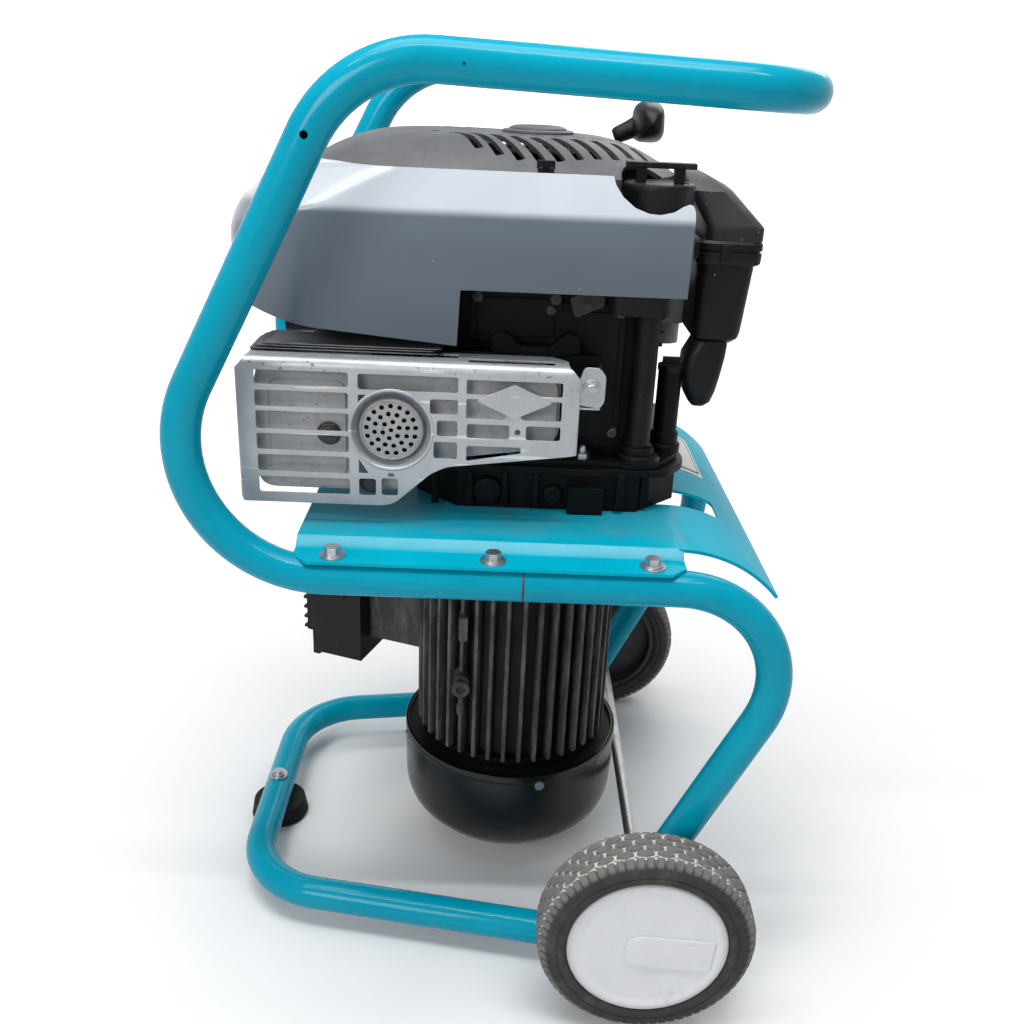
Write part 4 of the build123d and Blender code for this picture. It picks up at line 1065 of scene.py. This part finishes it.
def hub_cap(side, word):
    """Flat pressed disc with a rolled edge and a raised round-ended tab."""
    low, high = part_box(word + "_hub_cap")
    centre = (low + high) / 2
    face = (high.y if side > 0 else low.y) * side / MM - abs(centre.y) / MM
    radius = (high.z - low.z) / 2 / MM
    profile = [(0.01, face - 2.2), (59, face - 2.2), (63, face - 1.8), (66, face - 0.3), (68.5, face),
               (71, face - 0.1), (72.6, face - 0.8), (radius, face - 2.2), (radius, face - 3.4),
               (68, face - 3.4), (68, face - 12), (63, face - 12), (63, face - 3.4), (0.01, face - 3.4)]
    disc = lathe([(r, side * h) for r, h in profile], centre, "Y", 128)
    tab_half, tab_start, tab_end = 17.0, -4.0, 60.0
    outline = [(tab_end, -tab_half)]
    for i in range(25):
        angle = -PI / 2 - PI * i / 24
        outline.append((tab_start + tab_half * math.cos(angle), tab_half * math.sin(angle)))
    outline.append((tab_end, tab_half))
    lean = math.radians(4)
    outline = [(x * math.cos(lean) + z * math.sin(lean), z * math.cos(lean) - x * math.sin(lean) - 3)
               for x, z in outline]
    plate = [centre + Vector((x * MM, side * (face - 2.4) * MM, z * MM)) for x, z in outline]
    tab = prism(plate, Vector((0, side * 2.2 * MM, 0)))
    piece = new_piece(word + "_hub_disc", joined(disc, tab), "hub_cap_plastic", word + "_wheel")
    rounded(piece, 0.5 * MM, 2)
    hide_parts(word + "_hub_cap")


# ---------------------------------------------------------------- fuel cap and starter grip
def fuel_cap():
    """Cap with a plain skirt, a bead round its top, two posts and a cross bar."""
    low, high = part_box("fuel_cap")
    centre = Vector(((low.x + high.x) / 2, (low.y + high.y) / 2, 0))
    base, shelf, top = 718.0, 746.0, high.z / MM
    profile = [(27, base), (29.4, base), (30, base + 0.8), (30.2, base + 3), (29.9, base + 3.4),
               (29.9, shelf - 6), (30.3, shelf - 5.4), (30.3, shelf - 2.2), (29.6, shelf - 0.7),
               (28.2, shelf), (24.5, shelf), (23.6, shelf - 0.9), (20, shelf - 1.1), (0.01, shelf - 1.1)]
    cap = lathe(profile, centre, "Z", 128)
    x, y = centre.x / MM - SHIFT, centre.y / MM
    posts = [block(x + s * 16 - 4.2, x + s * 16 + 4.2, y - 3.2, y + 3.2, shelf - 2, top - 4) for s in (-1, 1)]
    bar = block(x - 29, x + 29, y - 6, y + 6, top - 4.8, top)
    piece = new_piece("fuel_cap_turned", joined(cap, *posts, bar), "black_plastic", "fuel_cap_body")
    rounded(piece, 0.9 * MM, 3, 50)
    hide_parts("fuel_cap")
    stem = new_piece("fuel_cap_stem", lathe([(0.01, 712), (11, 712), (11.5, 714), (11.5, 744), (0.01, 744)],
                                            centre, "Z", 48), "black_plastic", "fuel_cap_body")


def starter_grip():
    """Moulded T handle: a swelling cross bar on a waisted neck."""
    low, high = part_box("starter_grip")
    wide, tall, squareness = 16.5, 19.0, 0.62
    bar_x, bar_y, bar_z = high.x - wide * MM, (low.y + high.y) / 2, high.z - tall * MM
    half_length = (high.y - low.y) / 2
    rows = []
    stations = 25
    for i in range(stations):
        t = -1 + 2 * i / (stations - 1)
        swell = (1 - abs(t) ** 5) ** 0.5 if abs(t) < 1 else 0.02
        swell *= 0.88 + 0.12 * math.cos(PI * t)
        row = []
        for j in range(40):
            ca, sa = around(j / 40, 1)
            z = tall * swell * math.copysign(abs(sa) ** squareness, sa)
            x = wide * swell * math.copysign(abs(ca) ** squareness, ca) * (0.94 - 0.06 * z / tall)
            row.append(Vector((bar_x + x * MM, bar_y + t * half_length, bar_z + z * MM)))
        rows.append(row)
    bar = grid(rows, closed_columns=True)
    foot = place(110.5, bar_y / MM, 771.5)
    head = Vector((bar_x, bar_y, bar_z))
    along = (head - foot).normalized()
    side = Vector((0, 1, 0))
    up = along.cross(side)
    neck_rows = []
    for share, radius in ((0, 0.05), (0, 6.2), (0.06, 7.6), (0.2, 8.2), (0.45, 8.9), (0.7, 10.4), (0.9, 12.5),
                          (1.0, 13.0)):
        centre = foot.lerp(head, share)
        spokes = [around(j / 40, radius * MM) for j in range(40)]
        neck_rows.append([centre + side * a * 1.15 + up * b for a, b in spokes])
    neck = grid(neck_rows, closed_columns=True)
    piece = new_piece("starter_handle", joined(bar, neck), "black_plastic", "starter_pull", sharp=60)
    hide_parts("starter_grip")


# ---------------------------------------------------------------- muffler guard and its neighbours
GUARD_X0, GUARD_X1, GUARD_Y, GUARD_LOW = -213.0, 76.0, -172.0, 471.5
GUARD_TOP, ROLL, SIDE_BEND, GUARD_SHEET = 592.0, 8.0, 2.0, 1.6
RING_X, RING_Z = -82.8, 540.6


def guard_fold(u, v):
    """Where a point of the guard's flat pattern ends up: the top rolls back, the ends turn back."""
    x, y, z = u, GUARD_Y, v
    if v > GUARD_TOP:
        run = v - GUARD_TOP
        angle = min(run / ROLL, PI / 2)
        y = GUARD_Y + ROLL * (1 - math.cos(angle)) + max(0.0, run - ROLL * PI / 2)
        z = GUARD_TOP + ROLL * math.sin(angle)
    for edge, way in ((GUARD_X0 + SIDE_BEND, -1), (GUARD_X1 - SIDE_BEND, 1)):
        run = (u - edge) * way
        if run > 0:
            angle = min(run / SIDE_BEND, PI / 2)
            x = edge + way * SIDE_BEND * math.sin(angle)
            y = GUARD_Y + SIDE_BEND * (1 - math.cos(angle)) + max(0.0, run - SIDE_BEND * PI / 2)
    return x, y, z


def guard_holes():
    """The openings in the guard's flat pattern."""
    rows = ((480.5, 495), (500, 515), (519.5, 534), (538, 554), (558, 572), (577, 589.5))
    holes = []
    for low, high in rows:
        holes.append(oblong(-197, -118.5, low, high))
        holes.append(oblong(-239, -219, max(low, 482), min(high, 585), 2))
    for u0, u1, v0, v1 in ((-110.5, -26.5, 575.5, 589), (-50, -26.5, 556.5, 569.5), (-44, -26.5, 537, 551),
                           (-46.5, -26.5, 517, 532), (-110.5, -96, 480.5, 496), (-91, -77, 481, 497),
                           (-18.5, 17.5, 536.5, 549), (31.6, 61, 536.5, 549)):
        holes.append(oblong(u0, u1, v0, v1))
    holes += [disc_outline(RING_X, RING_Z, 34.3, 64), disc_outline(24.5, 543, 2.6),
              oblong(RING_X - 2.6, RING_X + 2.6, 498.5, 502, 1.2),
              softened([(-110.5, 501), (-102, 501), (-110.5, 514)], 1.5),
              softened([(-110.5, 571), (-104, 571), (-110.5, 564)], 1.2)]
    over_plate = [(-19.5, 575), (-1, 575), (21, 584.5), (43, 575), (61, 575), (61, 587.5), (-19.5, 587.5)]
    left_of_plate = [(-19.5, 554), (13, 554), (16, 557.6), (-9, 571), (-19.5, 571)]
    right_of_plate = [(61, 554), (29, 554), (26, 557.6), (51, 571), (61, 571)]
    sloping = [(-18.5, 515.5), (-18.5, 529.5), (28, 529.5), (28, 524)]
    holes += [softened(outline, 2) for outline in (over_plate, left_of_plate, right_of_plate, sloping)]
    back = GUARD_TOP + ROLL * PI / 2 - ROLL - GUARD_Y
    for u0, u1, y0, y1 in ((-168, -114, -144, -137), (-102, -28, -150, -138), (-19, 54, -162, -150)):
        holes.append(oblong(u0, u1, y0 + back, y1 + back, 2))
    return holes


def muffler_guard():
    """Guard folded from one slotted sheet, with a raised bead round the outlet."""
    deep = GUARD_TOP + ROLL * PI / 2 + 31.5
    outline = [(-211, GUARD_LOW), (-90, GUARD_LOW), (-80, 474), (-49, 502.5), (-35, 509.5), (70, 523),
               (88, 527), (88, 586), (76, 590), (66, 602), (66, deep - 14), (52, deep), (-196, deep),
               (-204, deep - 6), (-204, 602), (-212, 590), (-242, 588), (-242, 478), (-212, GUARD_LOW + 4)]
    made = pattern(softened(outline, 5), guard_holes())
    us = [edge + way * SIDE_BEND * PI / 8 * k
          for edge, way in ((GUARD_X0 + SIDE_BEND, -1), (GUARD_X1 - SIDE_BEND, 1)) for k in range(5)]
    vs = [GUARD_TOP + ROLL * PI / 16 * k for k in range(9)]
    folded(creased(made, us, vs), guard_fold)
    piece = new_piece("guard_sheet", made, "guard_steel", outward=Vector((0, -1, 0)))
    thickened(piece, GUARD_SHEET * MM)
    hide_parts("muffler_guard")
    bead = [(28.5, 9.0), (31.0, 5.2), (33.2, 1.2), (33.8, -0.2), (34.4, -0.8), (35.4, -0.9), (36.2, -0.6),
            (36.6, 0.3)]
    turned = lathe(bead, place(RING_X, GUARD_Y, RING_Z), "Y", 64)
    ring = new_piece("guard_bead", turned, "guard_steel", sharp=50, outward=Vector((0, -1, 0)))
    plate = softened([(-11, 570), (21, 555), (53, 570), (21, 585)], 3)
    raised = pattern(plate, [])
    folded(raised, lambda u, v: (u, GUARD_Y - 1.4, v))
    lozenge = new_piece("guard_lozenge", raised, "guard_steel", outward=Vector((0, -1, 0)))
    thickened(lozenge, GUARD_SHEET * MM)
    rounded(lozenge, 0.5 * MM)


def muffler_outlet():
    """Perforated cup in the ring of the guard."""
    holes = [disc_outline(RING_X, RING_Z, 2.0, 12)]
    for radius, count in ((7.4, 6), (14.2, 12), (21.0, 17)):
        for i in range(count):
            a, b = around((i + 0.3) / count, radius)
            holes.append(disc_outline(RING_X + a, RING_Z + b, 2.1, 12))
    made = pattern(disc_outline(RING_X, RING_Z, 25.4, 64), holes)
    folded(made, lambda u, v: (u, -170.2 - 1.4 * (1 - ((u - RING_X) ** 2 + (v - RING_Z) ** 2) / 650), v))
    face = new_piece("outlet_screen", made, "muffler_steel", outward=Vector((0, -1, 0)))
    thickened(face, 1.0 * MM)
    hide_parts("muffler_outlet")
    wall = [(25.0, -169.8), (25.6, -171.2), (26.8, -171.0), (27.4, -169.8), (27.4, -162), (29.4, -160),
            (29.4, -158.8), (26, -158.8), (26, -169.0)]
    cup = new_piece("outlet_cup", lathe(wall, place(RING_X, 0, RING_Z), "Y", 64), "muffler_steel")
    soot = [(0.01, -167.2), (24, -166.4), (26.2, -166), (26.2, -160), (0.01, -160)]
    inside = new_piece("outlet_soot", lathe(soot, place(RING_X, 0, RING_Z), "Y", 48), "black_casting")


def muffler_can():
    """Pressed can with a rolled seam, its lower edge cut away towards the engine."""
    outline = softened([(-200, 481), (-74, 481), (-42, 512), (58, 526), (58, 591), (-200, 591)], 16, 6)
    skin = slab(outline, -160, 40)
    seam_line = softened([(-203, 478), (-73, 478), (-41, 509), (61, 523), (61, 594), (-203, 594)], 17, 6)
    seam = slab(seam_line, -142, 3)
    inset = softened([(-188, 493), (-122, 493), (-122, 579), (-188, 579)], 10, 5)
    dish = slab(inset, -161, 2)
    stub = lathe([(0.01, -121), (15, -121), (15, -95), (0.01, -95)], place(-20, 0, 570), "Y", 40)
    piece = new_piece("muffler_can", joined(skin, seam, dish, stub), "muffler_steel")
    rounded(piece, 2.2 * MM, 4, 40)
    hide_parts("muffler_body")


def bolt_y(across, x, y, z, washer=0.0):
    """A hexagon head with a domed end on the -Y side of y, over a washer."""
    centre = place(x, y, z)
    domed_end = [(across * 0.43, -4.4), (across * 0.36, -5.2), (0.01, -5.4)]
    parts = [hexagon(across, x, z, y, y - 4.5, "Y"), lathe(domed_end, centre, "Y", 24)]
    if washer:
        disc = [(0.01, -1.2), (washer - 0.3, -1.2), (washer, -0.9), (washer, 0)]
        parts.append(lathe(disc, centre, "Y", 32))
    return joined(*parts)


def bracket_and_screws():
    """Bracket with a folded foot, its bolt, the muffler's bolts and the stud nut."""
    outline = softened([(75, 566), (75, 588), (79, 599), (92, 599), (97.5, 592), (97.5, 570), (94, 563.5)], 3)
    tab = slab(outline, -161, 2)
    foot = block(75, 94, -161, -150, 562, 564)
    web = block(95, 97, -160, -95, 568, 590)
    piece = new_piece("bracket_plate", joined(tab, foot, web), "zinc")
    rounded(piece, 0.5 * MM)
    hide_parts("guard_bracket")
    stud_x, stud_y = 86, -108
    on_stud = place(stud_x, stud_y, 0)
    heads = joined(bolt_y(10, 85.7, -161, 581.5, 7.5), hexagon(13, stud_x, stud_y, 500, 506),
                   lathe([(7.4, 500), (7.4, 501.4), (0.01, 501.4)], on_stud),
                   lathe([(3.6, 506), (3.6, 511), (2.6, 512.4), (0.01, 512.8)], on_stud, "Z", 24))
    screws = new_piece("bracket_screws", heads, "zinc")
    rounded(screws, 0.3 * MM)
    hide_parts("guard_screws")
    bolts = joined(bolt_y(15, -137, -161.5, 533, 10.5), bolt_y(15, -102, -160.5, 489, 10))
    dark = new_piece("muffler_bolts", bolts, "black_steel")
    rounded(dark, 0.4 * MM)


def heat_shield():
    """Three thin trays, one on another, with turned-up lips."""
    trays = []
    for x0, x1, y0, y1, z, lip in ((-205, -44, -152, -98, 601.5, 1.5), (-201, -47, -151, -99, 604, 1.2),
                                   (-196, -42, -150, -100, 606.2, 0.8)):
        made = pattern(oblong(x0, x1, y0, y1, 7), [])
        creased(made, [x0 + 4, x1 - 4, -120], [y0 + 3, y0 + 5])
        folded(made, lambda u, v, z=z, lip=lip, y0=y0: (u, v, z + (lip if v < y0 + 3.1 else 0)))
        trays.append(made)
    piece = new_piece("shield_trays", joined(*trays), "shield_steel", outward=Vector((0, 0, 1)))
    thickened(piece, 0.9 * MM)
    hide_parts("heat_shield")


# ---------------------------------------------------------------- air cleaner
def air_cleaner():
    """Lid with a sloping roof on a flanged, tapering canister with a snorkel."""
    lid = loft([(183, 233, -87, 38, 9, 696), (183, 233.6, -88, 39, 9, 698), (183, 233.6, -88, 39, 9, 708.5),
                (181.5, 231.5, -87, 38, 9, 711), (166, 205, -79, 30, 12, 737.5), (163, 199, -72, 24, 12, 742),
                (162, 181, -56, 12, 9, 750.5), (162, 172, -46, 4, 5, 752)])
    piece = new_piece("air_cleaner_lid", lid, "air_box_plastic", sharp=30)
    rounded(piece, 1.2 * MM, 3, 28)
    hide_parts("air_cleaner_cover")
    canister = loft([(190, 214, -74, 2, 10, 604.5), (185, 219, -79, 7, 12, 605.5),
                     (181, 223, -84, 12, 12, 610), (180.5, 224.5, -85, 13, 12, 616),
                     (179, 229.5, -87, 15, 12, 678)])
    rim = loft([(178, 232, -88.5, 16.5, 11, 676.5), (176.5, 234, -89.5, 17.5, 12, 678),
                (176.5, 234.6, -90, 18, 12, 686.6), (178.5, 232.6, -88.5, 16.5, 11, 687.4),
                (178.5, 232.6, -88.5, 16.5, 11, 688.6), (176.5, 234.6, -90, 18, 12, 689.4),
                (176.5, 234.4, -90, 18, 12, 695), (179, 232, -88, 16, 11, 697.5)])
    clips = [block(174, 178, -84, -74, 681, 695), block(196, 206, -91.5, -89, 680, 694)]
    snorkel = loft([(188, 200, -76, -56, 5, 544.5), (184, 204.5, -81, -50, 7, 549),
                    (178, 208, -84, -46, 9, 560), (175, 210.5, -85, -45, 10, 573),
                    (176, 213.5, -85, -45, 10, 592), (182, 214.5, -84, -46, 10, 604),
                    (183, 214, -83, -47, 10, 607)])
    base = new_piece("air_cleaner_box", joined(canister, rim, snorkel, *clips), "black_plastic", sharp=38)
    rounded(base, 0.8 * MM, 2, 36)
    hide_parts("air_cleaner_base")


# ---------------------------------------------------------------- engine castings
def engine_joint():
    """The engine's joint flange, its bosses, ribs and plugs."""
    flange = softened([(-64, -123), (60, -123), (72, -126), (100, -126), (112, -123), (140, -122),
                       (152, -124), (166, -118), (183, -92), (184, -70), (179, -50), (180, 60), (150, 122),
                       (-40, 122), (-72, 80), (-73, -80)], 12)
    upper = softened([(-58, -112), (70, -112), (80, -119), (98, -119), (112, -108), (122, -122), (152, -122),
                      (163, -108), (176, -88), (178, -60), (172, 60), (140, 112), (-40, 112), (-66, 80),
                      (-66, -80)], 10)
    parts = [prism([place(x, y, low) for x, y in outline], Vector((0, 0, rise * MM)))
             for outline, low, rise in ((flange, 488, 7), (upper, 495.5, 5.5))]
    for x, y, r, z0, z1 in ((136, -107, 19, 500, 508), (136, -107, 15.5, 508, 515),
                            (86, -108, 10, 494, 500.5), (165, -75, 15.5, 500, 509), (165, -75, 13, 509, 520),
                            (-40, -106, 9, 494, 502), (20, -110, 9, 494, 502), (-62, -70, 9, 494, 502)):
        boss = [(0.01, z0), (r, z0), (r, z1 - 1.5), (r - 1.5, z1), (0.01, z1)]
        parts.append(lathe(boss, place(x, y, 0), "Z", 40))
    for x in (-48, -16, 16, 44, 122, 146):
        wide = 3.2 if x < 100 else 4.5
        rib = [(x - wide, 456), (x + wide, 456), (x + wide * 0.7, 489), (x - wide * 0.7, 489)]
        parts.append(slab(rib, -125 if x < 130 else -116, 10))
    for x, z, r in ((0, 470, 13), (60, 468, 9)):
        plug = [(0.01, -126), (r - 1.5, -126), (r, -124.5), (r, -116)]
        parts.append(lathe(plug, place(x, 0, z), "Y", 40))
    castings = new_piece("engine_joint", joined(*parts), "black_casting")
    rounded(castings, 0.9 * MM, 2, 40)


def engine_covers():
    """Raised covers on the front of the engine, with a few fins."""
    covers = []
    for x0, x1, z0, z1, y in ((-46, 34, 508, 596, -99), (44, 118, 518, 640, -101), (-20, 60, 604, 650, -103)):
        covers.append(slab(oblong(x0, x1, z0, z1, 9), y, -y - 94))
        covers.append(slab(oblong(x0 + 6, x1 - 6, z0 + 6, z1 - 6, 7), y - 2.5, 3))
    for z in (604, 616, 628, 640):
        covers.append(block(122, 152, -97, -92, z, z + 3.5))
    panel = new_piece("engine_covers", joined(*covers), "black_casting")
    rounded(panel, 1.0 * MM, 2, 40)


def engine_screws():
    """Flanged screws in the covers, and plain ones in the flange."""
    front = ((50, -101, 524), (112, -101, 524), (50, -101, 634), (112, -101, 634),
             (-14, -103, 644), (54, -103, 644), (-40, -99, 514), (28, -99, 514))
    heads = [bolt_y(8, x, y, z, 5) for x, y, z in front]
    heads += [hexagon(9, x, y, 501, 505) for x, y in ((-40, -106), (20, -110), (-62, -70), (152, -112))]
    screws = new_piece("engine_screws", joined(*heads), "black_steel")
    rounded(screws, 0.3 * MM)


def exhaust_support():
    """Two-eared casting between the heat shield and the engine, and the governor lever over it."""
    ears = softened([(0, 598), (0, 612), (8, 617), (18, 612), (24, 604), (52, 604), (58, 611), (66, 617),
                     (76, 614), (78, 600), (60, 597), (52, 594), (26, 594), (18, 597)], 3)
    support = joined(slab(ears, -118, 22), slab(oblong(26, 50, 596, 603, 2), -120, 3),
                     slab(oblong(-30, 96, 588, 597, 3), -112, 16))
    casting = new_piece("exhaust_support", support, "black_casting")
    rounded(casting, 1.0 * MM, 2, 40)
    arm = slab(softened([(66, 646), (96, 652), (98, 640), (72, 628)], 4), -104, 2)
    lever = joined(arm, tube([(82, -103, 640), (82, -110, 640)], 3, 12))
    plate = new_piece("governor_lever", lever, "black_steel")
    rounded(plate, 0.4 * MM)


# ---------------------------------------------------------------- alternator and frame details
def alternator_details():
    """Earth lug with its ring and tail, and the band round the fan cover."""
    centre = place(-20, -110.5, 248)
    lug = lathe([(9, -1.5), (9, 1.5), (4.5, 1.5), (4.5, -1.5), (9, -1.5)], centre, "Y", 40)
    tail = block(-22.5, -17.5, -111.5, -107, 226, 241)
    barrel = [(0.01, 218), (3.4, 218), (3.8, 219), (3.8, 229), (3.4, 230), (0.01, 230)]
    crimp = lathe(barrel, place(-20, -109.2, 0), "Z", 24)
    neck = block(-24, -16, -108, -97, 244, 252)
    piece = new_piece("earth_lug", joined(lug, tail, crimp, neck), "alternator_casting")
    rounded(piece, 0.6 * MM)
    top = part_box("fan_cover")[1].z / MM
    band = [(118.0, top - 9.4), (118.7, top - 9.2), (118.9, top - 8.4), (118.9, top - 0.8), (118.4, top),
            (116.4, top), (116.0, top - 1)]
    rim = new_piece("fan_cover_band", lathe(band, place(CRANK_DRAWN_X, 0, 0), "Z", 160), "fan_cover_gloss",
                    sharp=50)


def frame_details():
    """Butt seams where the frame tubes meet, and a blank label on the apron."""
    line = [(15.6, -1.1), (16.15, -0.9), (16.25, 0), (16.15, 0.9), (15.6, 1.1)]
    seams = [lathe(line, place(34, y, 425), "X", 64) for y in (-220, 220)]
    piece = new_piece("frame_seams", joined(*seams), "black_steel", sharp=60)
    bend_x, bend_z, radius = 168.5, 333.0, 119.0
    for name, finish, slot, lift, edges in (
            ("apron_label", "hub_cap_plastic", "hub_cap_plastic", 0.35, (15, 145, 14, 29)),
            ("apron_label_border", "black_plastic", "black_plastic", 0.55, (24, 136, 15.5, 27.5)),
            ("apron_label_field", "hub_cap_plastic", "hub_cap_plastic", 0.75, (28, 132, 16.2, 26.8))):
        y0, y1, a0, a1 = edges
        per = radius * PI / 180
        made = pattern(oblong(y0, y1, a0 * per, a1 * per, 6), [])
        creased(made, [], [per * (a0 + 0.5 * k) for k in range(1, int(2 * (a1 - a0)))])
        folded(made, lambda u, v, lift=lift: (bend_x + (radius + lift) * math.sin(v / radius), u,
                                              bend_z + (radius + lift) * math.cos(v / radius)))
        label = new_piece(name, made, finish, outward=Vector((0, 0, 1)))
        thickened(label, 0.25 * MM)


# ---------------------------------------------------------------- stage, light and camera
def soft_light(name, size_x, size_y, power, spot, target):
    """A rectangular studio light aimed at a point."""
    lamp = bpy.data.lights.new(name, "AREA")
    lamp.shape = "RECTANGLE"
    lamp.size, lamp.size_y = size_x, size_y
    lamp.energy = power
    holder = bpy.data.objects.new(name, lamp)
    bpy.context.scene.collection.objects.link(holder)
    holder.location = spot
    holder.rotation_mode = "QUATERNION"
    holder.rotation_quaternion = (Vector(target) - Vector(spot)).to_track_quat("-Z", "Y")


def stage():
    """A pale floor that curves up all round into a pale wall."""
    f = Finish("studio_floor", rough=0.85, specular=0.2)
    near = f.mix(f.noise(1.5, 3), (0.74, 0.74, 0.74, 1), (0.78, 0.78, 0.78, 1))
    far = f.band(f.away_from((0, 0, 0), (1, 1, 0)), 0.9, 2.6)
    colour = f.mix(far, near, (0.86, 0.86, 0.86, 1))
    f.done(colour, f.spread(f.noise(6, 4), 0.8, 0.92), f.bump(f.noise(60, 4), 0.2 * MM, 0.2))
    reach, curve, wall = 3.2, 1.4, 2.2
    profile = [(0.001, 0.0), (reach * 0.5, 0.0), (reach, 0.0)]
    profile += [(reach + curve * math.sin(PI / 2 * i / 16), curve * (1 - math.cos(PI / 2 * i / 16)))
                for i in range(1, 17)]
    profile += [(reach + curve, wall)]
    rows = [[Vector((r * math.cos(2 * PI * j / 96), r * math.sin(2 * PI * j / 96), z)) for j in range(96)]
            for r, z in profile]
    made = grid(rows, closed_columns=True)
    mesh = bpy.data.meshes.new("studio_floor")
    bmesh.ops.recalc_face_normals(made, faces=made.faces)
    made.to_mesh(mesh)
    made.free()
    mesh.polygons.foreach_set("use_smooth", [True] * len(mesh.polygons))
    mesh.materials.append(f.material)
    floor = bpy.data.objects.new("studio_floor", mesh)
    bpy.context.scene.collection.objects.link(floor)
    world = bpy.data.worlds.new("studio")
    bpy.context.scene.world = world
    world.use_nodes = True
    world.node_tree.nodes["Background"].inputs["Color"].default_value = (0.93, 0.96, 1.0, 1)
    world.node_tree.nodes["Background"].inputs["Strength"].default_value = 0.3
    bpy.context.scene.view_settings.view_transform = "Standard"
    target = (0.0, 0.0, 0.45)
    soft_light("overhead", 1.7, 1.1, 36, (-0.1, -0.25, 2.4), target)
    soft_light("key", 0.9, 0.9, 23, (-1.1, -2.1, 1.5), target)
    soft_light("strip", 2.4, 0.05, 17, (0.0, -0.75, 2.2), target)
    soft_light("rear", 1.4, 0.9, 12, (0.9, 1.8, 1.8), target)
    soft_light("backdrop", 3.0, 0.8, 110, (0.0, 2.2, 2.9), (0.0, 4.4, 0.6))


CAMERA_SPOT = (0.0021, -1.0167, 0.8219)
CAMERA_YAW, CAMERA_PITCH, CAMERA_ROLL = math.radians(0.935), math.radians(22.614), math.radians(-2.540)
CAMERA_LENS = 36.735


def camera():
    """A camera that looks along +Y, turned a little, tilted down and rolled."""
    yaw, pitch, roll = CAMERA_YAW, CAMERA_PITCH, CAMERA_ROLL
    forward = Vector((math.sin(yaw) * math.cos(pitch), math.cos(yaw) * math.cos(pitch), -math.sin(pitch)))
    right = Vector((math.cos(yaw), -math.sin(yaw), 0))
    down = forward.cross(right)
    turned_right = math.cos(roll) * right + math.sin(roll) * down
    turned_down = math.cos(roll) * down - math.sin(roll) * right
    lens = bpy.data.cameras.new("view")
    lens.lens = CAMERA_LENS
    lens.sensor_width = 36.0
    lens.clip_start, lens.clip_end = 0.01, 30.0
    holder = bpy.data.objects.new("view", lens)
    bpy.context.scene.collection.objects.link(holder)
    axes = Matrix((turned_right, -turned_down, -forward)).transposed()
    holder.matrix_world = Matrix.Translation(CAMERA_SPOT) @ axes.to_4x4()
    bpy.context.scene.camera = holder


dress_cad_nodes()
blower_housing()
starter_cap()
engine_shroud()
for side, word in ((-1, "near"), (1, "far")):
    tyre(word)
    hub_cap(side, word)
fuel_cap()
starter_grip()
muffler_guard()
muffler_outlet()
muffler_can()
bracket_and_screws()
heat_shield()
air_cleaner()
engine_joint()
engine_covers()
engine_screws()
exhaust_support()
alternator_details()
frame_details()
stage()
camera()
